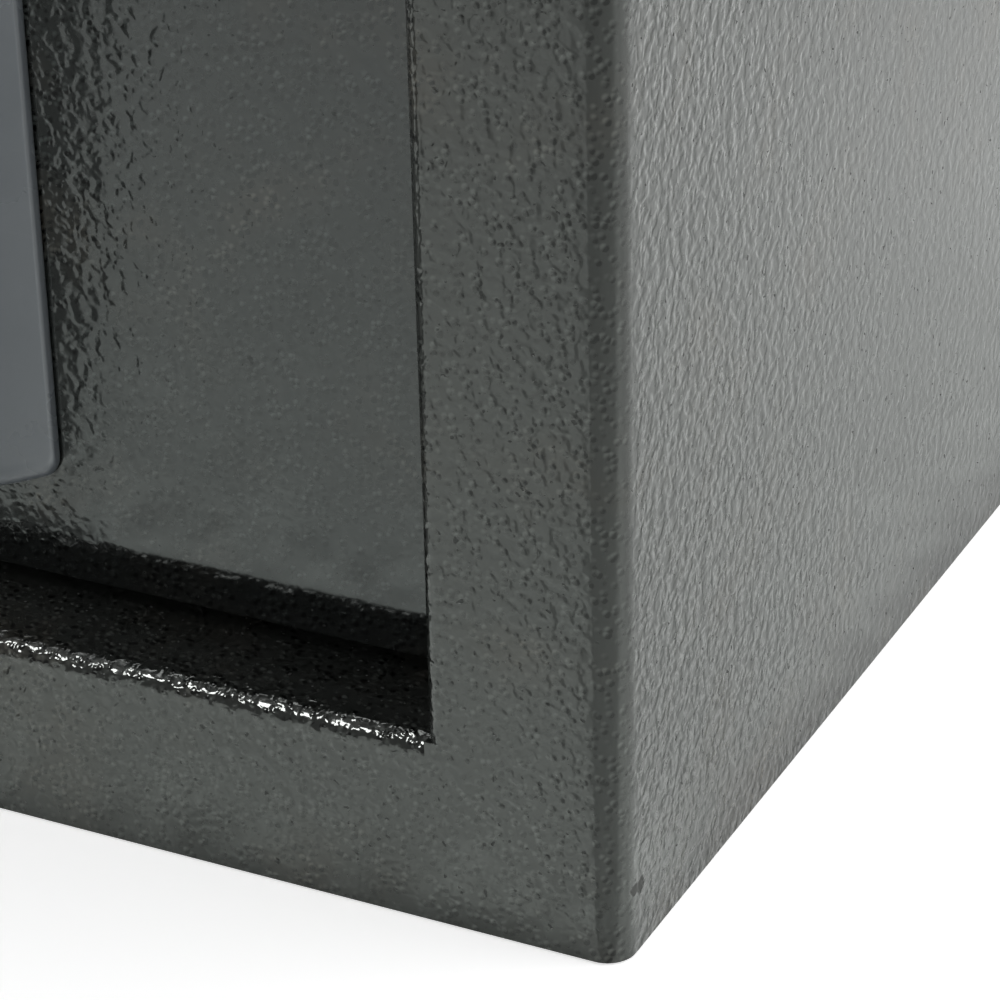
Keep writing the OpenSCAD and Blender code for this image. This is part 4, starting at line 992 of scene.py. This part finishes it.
# A ring of copies, laid by Geometry Nodes round an axis along Y
def makeRingGroup():
    tree, given, wanted, identifiers = newGeometryGroup("ringOfCopies", {
        "Count": ("Int", 12), "Radius": ("Float", 0.01), "Centre": ("Vector", (0.0, 0.0, 0.0)),
        "Size": ("Vector", (0.001, 0.001, 0.001)), "Material": ("Material", None)})
    circle = addNode(tree, "GeometryNodeMeshCircle", {
        "Vertices": given["Count"], "Radius": given["Radius"]})
    place = addNode(tree, "GeometryNodeInputPosition")
    angle = addNode(tree, "FunctionNodeAlignRotationToVector", axis="X", inputs={
        "Vector": place.outputs[0]})
    ball = addNode(tree, "GeometryNodeMeshUVSphere", {"Segments": 10, "Rings": 6, "Radius": 1.0})
    copies = addNode(tree, "GeometryNodeInstanceOnPoints", {
        "Points": circle.outputs[0], "Instance": ball.outputs[0],
        "Rotation": angle.outputs[0], "Scale": given["Size"]}).outputs[0]
    turned = changed(tree, "GeometryNodeTransform", copies, {
        "Rotation": (math.pi / 2, 0.0, 0.0), "Translation": given["Centre"]})
    real = changed(tree, "GeometryNodeRealizeInstances", turned)
    smooth = changed(tree, "GeometryNodeSetShadeSmooth", real, {"Shade Smooth": True})
    plug(tree, wanted, changed(tree, "GeometryNodeSetMaterial", smooth, {"Material": given["Material"]}))
    return tree, identifiers


ringGroup, ringSockets = makeRingGroup()


def ringOfCopies(name, body, slot, material, **values):
    thing = linked(name, bpy.data.meshes.new(name))
    modifier = thing.modifiers.new("ring", "NODES")
    modifier.node_group = ringGroup
    for label, value in {**values, "Material": material}.items():
        modifier[ringSockets[label]] = value
    thing = baked(thing, name, [material])
    cleanMesh(thing.data)
    finishPiece(thing, body, slot)


ringOfCopies("knobRibs", "knob_set", "chrome", paints["chrome"],
    Count=knobSettings.ribs, Radius=knobSettings.radius - knobSettings.ribSink,
    Centre=(0.0, knobBaseY - knobSettings.skirt / 2, knobZ),
    Size=(knobSettings.ribRadius, knobSettings.ribRadius, knobSettings.ribLength / 2))
print("knob made")


# Screws: a tapered cross recess is cut into each head, and the heads' edges are rounded
screwSettings = Settings(
    panScrews=Settings(
        node="door_fasteners", body="door", faceY=-0.1138, depth=0.0015, reach=0.0034, width=0.001,
        places=[(x, z) for x in (-0.1, 0.108) for z in (0.049, 0.281)],
    ),
    handleScrews=Settings(
        node="drawer_screws", body="drawer", faceY=-0.1474, depth=0.0018, reach=0.0042, width=0.0012,
        places=[(-0.064, 0.398), (0.064, 0.398)],
    ),
)
recessSettings = Settings(
    round=(0.00012, 2, 35), above=0.0004, taper=0.6, innerCorner=(0.0001, 1), outerCorner=(0.0002, 1),
)


def makeScrews(name, settings, recess):
    screws = cadCopy(settings.node, name)
    low, high = settings.faceY - settings.depth, settings.faceY + recess.above
    reach, width, taper = settings.reach, settings.width, recess.taper
    for x, z in settings.places:
        for wide, tall in ((reach, width), (width, reach)):
            inner = facing(roundRect(taper * wide, taper * tall, *recess.innerCorner), low, x, z)
            outer = facing(roundRect(wide, tall, *recess.outerCorner), high, x, z)
            screws = combine(screws, loft("cutter", [inner, outer]), "DIFFERENCE")
    screws = roundEdges(screws, name, [paints["zinc_steel"]], *recess.round)
    finishPiece(screws, settings.body, "zinc_steel", settings.node)


for name, settings in screwSettings.items():
    makeScrews(name, settings, recessSettings)


# Key cover: the pressed cover with its edge rolled, and a small pressed rib to push it aside with
coverSettings = Settings(
    round=(0.0007, 3, 45), rib=(0.009, 0.0018, 0.0008), ribZ=0.0675, ribY=(-0.161, -0.1618),
)


def makeKeyCover(settings):
    cover = cadCopy("key_cover", "keyCover")
    rib = prism("rib", roundRect(*settings.rib), *settings.ribY, 0, settings.ribZ)
    cover = combine(cover, rib, "UNION")
    cover = roundEdges(cover, "keyCover", [paints["zinc_steel"]], *settings.round)
    finishPiece(cover, "keyhole_cover", "zinc_steel", "key_cover")


makeKeyCover(coverSettings)
print("screws and key cover made")


# Floor, lights and world. Glossy rays see a brighter floor near the object, with three darker patches on
# it: a stripe along the photo's line on the door, a corner at the camera's side, and a wedge at the right
stageSettings = Settings(
    floorSize=40.0, floorDrop=0.0004, floorColour=0.84, cloudNoise=(3.0, 3.0), cloudDip=0.98, rough=0.9,
    patchColour=0.02, cameraLift=0.66, foot=0.175, glow=(0.0, 0.36, 1.0, 0.41),
    sideGlow=(-0.19, -0.12, 1.0, 0.4), footGlow=(0.0, 0.011, 0.3, 1.0), glossTint=(0.94, 1.0, 0.955),
    mottleNoise=(105.0, 2.0), mottle=(0.32, 0.68, 0.68, 1.32), stripeStart=(-0.006, -0.2586),
    stripeSlope=0.6, stripeFrom=(-0.005, 0.005), stripeTo=(0.16, 0.08), stripeAhead=(-0.25, -0.262),
    nearSlope=-0.226, nearLine=(-0.237, -0.2325), nearAhead=(-0.16, -0.176), nearLeft=(0.024, 0.012),
    patchDepth=0.84, wedgeCorner=(0.172, -0.175, 0.0), wedgeDepth=0.5,
    wedgeSides=((math.radians(-27), math.radians(-18)), (math.radians(93), math.radians(63))),
    worldAhead=(-0.05, -0.5), worldLight=(0.44, 0.18), worldGloss=(0.55, 0.18),
)


# Painted shadows that only reflections show: how dark each spot of the floor looks in a reflection, from 0
# for none to 1
def floorPatches(tree, place, settings):
    parts = axes(tree, place)
    startX, startY = settings.stripeStart
    slope = settings.stripeSlope
    line = calc(tree, "MULTIPLY_ADD", parts["Y"], slope, startX - slope * startY)
    past = calc(tree, "SUBTRACT", line, parts["X"])
    stripe = times(tree, ease(tree, past, *settings.stripeFrom),
        ease(tree, past, *settings.stripeTo),
        ease(tree, parts["Y"], *settings.stripeAhead))
    slant = calc(tree, "MULTIPLY_ADD", parts["X"], settings.nearSlope, parts["Y"])
    near = times(tree, ease(tree, slant, *settings.nearLine),
        remap(tree, parts["Y"], *settings.nearAhead),
        ease(tree, parts["X"], *settings.nearLeft))
    away = axes(tree, vectorCalc(tree, "SUBTRACT", place, settings.wedgeCorner))
    turn = calc(tree, "ARCTAN2", away["X"], times(tree, away["Y"], -1.0))
    inside = [ease(tree, turn, *side) for side in settings.wedgeSides]
    return calc(tree, "MAXIMUM", times(tree, calc(tree, "MAXIMUM", stripe, near), settings.patchDepth),
        times(tree, *inside, settings.wedgeDepth))


def seenThrough(tree, paths):
    return calc(tree, "MAXIMUM", paths["Is Camera Ray"], paths["Is Transmission Ray"])


def makeFloor(settings):
    half = settings.floorSize / 2
    low = -settings.floorDrop
    mesh = bpy.data.meshes.new("studioFloor")
    corners = [(-half, -half, low), (half, -half, low), (half, half, low), (-half, half, low)]
    mesh.from_pydata(corners, [], [(0, 1, 2, 3)])
    material, tree, shader, place = newMaterial(
        "studioFloor", {"Roughness": settings.rough, "Specular IOR Level": 0.0})
    paths = addNode(tree, "ShaderNodeLightPath").outputs
    glossy = paths["Is Glossy Ray"]
    # Painted shadows in reflections: the patches darken the floor for glossy rays alone
    patches = times(tree, floorPatches(tree, place, settings), glossy)
    white = settings.floorColour
    cloud = noise(tree, place, *settings.cloudNoise)
    tone = mix(tree, cloud, white, settings.cloudDip * white)
    foot = settings.foot
    beyond = vectorCalc(tree, "SUBTRACT", vectorCalc(tree, "ABSOLUTE", place), (foot, foot, 0.0))
    gap = vectorCalc(tree, "LENGTH", vectorCalc(tree, "MAXIMUM", beyond, (0.0, 0.0, 0.0)))
    mottle = remap(tree, noise(tree, place, *settings.mottleNoise), *settings.mottle)
    # Painted reflection: glossy rays alone see the floor glow, brightest near the object and in front of
    # it, with a painted contact shadow within 11 mm of its foot and gaps at the dark patches
    glow = times(tree, remap(tree, gap, *settings.glow),
        remap(tree, axes(tree, place)["Y"], *settings.sideGlow), remap(tree, gap, *settings.footGlow),
        mottle, calc(tree, "SUBTRACT", 1.0, patches), glossy)
    fill(tree, shader, {
        "Base Color": mix(tree, patches, tone, settings.patchColour),
        "Emission Color": mix(tree, glossy, 1.0, settings.glossTint),
        "Emission Strength": calc(
            tree, "MULTIPLY_ADD", seenThrough(tree, paths), settings.cameraLift, glow)})
    linked("studioFloor", mesh, [material])


# The world is dim in front of the object, where the photo's recesses and rounded lips see darkness
def makeWorld(settings):
    world = bpy.data.worlds.new("studio")
    bpy.context.scene.world = world
    world.use_nodes = True
    tree = world.node_tree
    paths = addNode(tree, "ShaderNodeLightPath").outputs
    direction = addNode(tree, "ShaderNodeTexCoord").outputs["Generated"]
    front = ease(tree, axes(tree, direction)["Y"], *settings.worldAhead)
    light, gloss = [remap(tree, front, 0.0, 1.0, *settings[key]) for key in ("worldLight", "worldGloss")]
    level = mixValue(tree, paths["Is Glossy Ray"], light, gloss)
    fill(tree, tree.nodes["Background"].inputs, {
        "Color": fourth(1.0), "Strength": mixValue(tree, seenThrough(tree, paths), level, 1.0)})


lightSettings = Settings(
    overhead=Settings(place=(0.25, 0.85, 2.2), aim=(0.0, 0.1, 0.0), size=(1.6, 1.4), power=36.0),
    right=Settings(place=(1.7, 0.2, 0.9), aim=(0.1, 0.0, 0.15), size=(1.4, 1.4), power=16.0),
    front=Settings(
        place=(-0.2, -1.6, 0.25), aim=(0.0, -0.175, 0.2), size=(1.6, 0.5), power=3.4, mirrored=False,
    ),
    lip=Settings(
        place=(-0.52, -0.86, 1.27), aim=(0.1, -0.175, 0.034), size=(0.44, 0.44), power=15.0,
        diffuse=False,
    ),
)


def makeLight(name, settings):
    data = bpy.data.lights.new(name, "AREA")
    data.shape = "RECTANGLE"
    data.size = settings.size[0]
    data.size_y = settings.size[1]
    data.energy = settings.power
    light = bpy.data.objects.new(name, data)
    place = Vector(settings.place)
    light.location = place
    light.rotation_euler = (Vector(settings.aim) - place).to_track_quat("-Z", "Y").to_euler()
    light.visible_glossy = settings.get("mirrored", True)
    light.visible_diffuse = settings.get("diffuse", True)
    bpy.context.scene.collection.objects.link(light)


makeFloor(stageSettings)
makeWorld(stageSettings)
for name, settings in lightSettings.items():
    makeLight(name, settings)
bpy.context.scene.view_settings.view_transform = "Standard"
print("stage made")
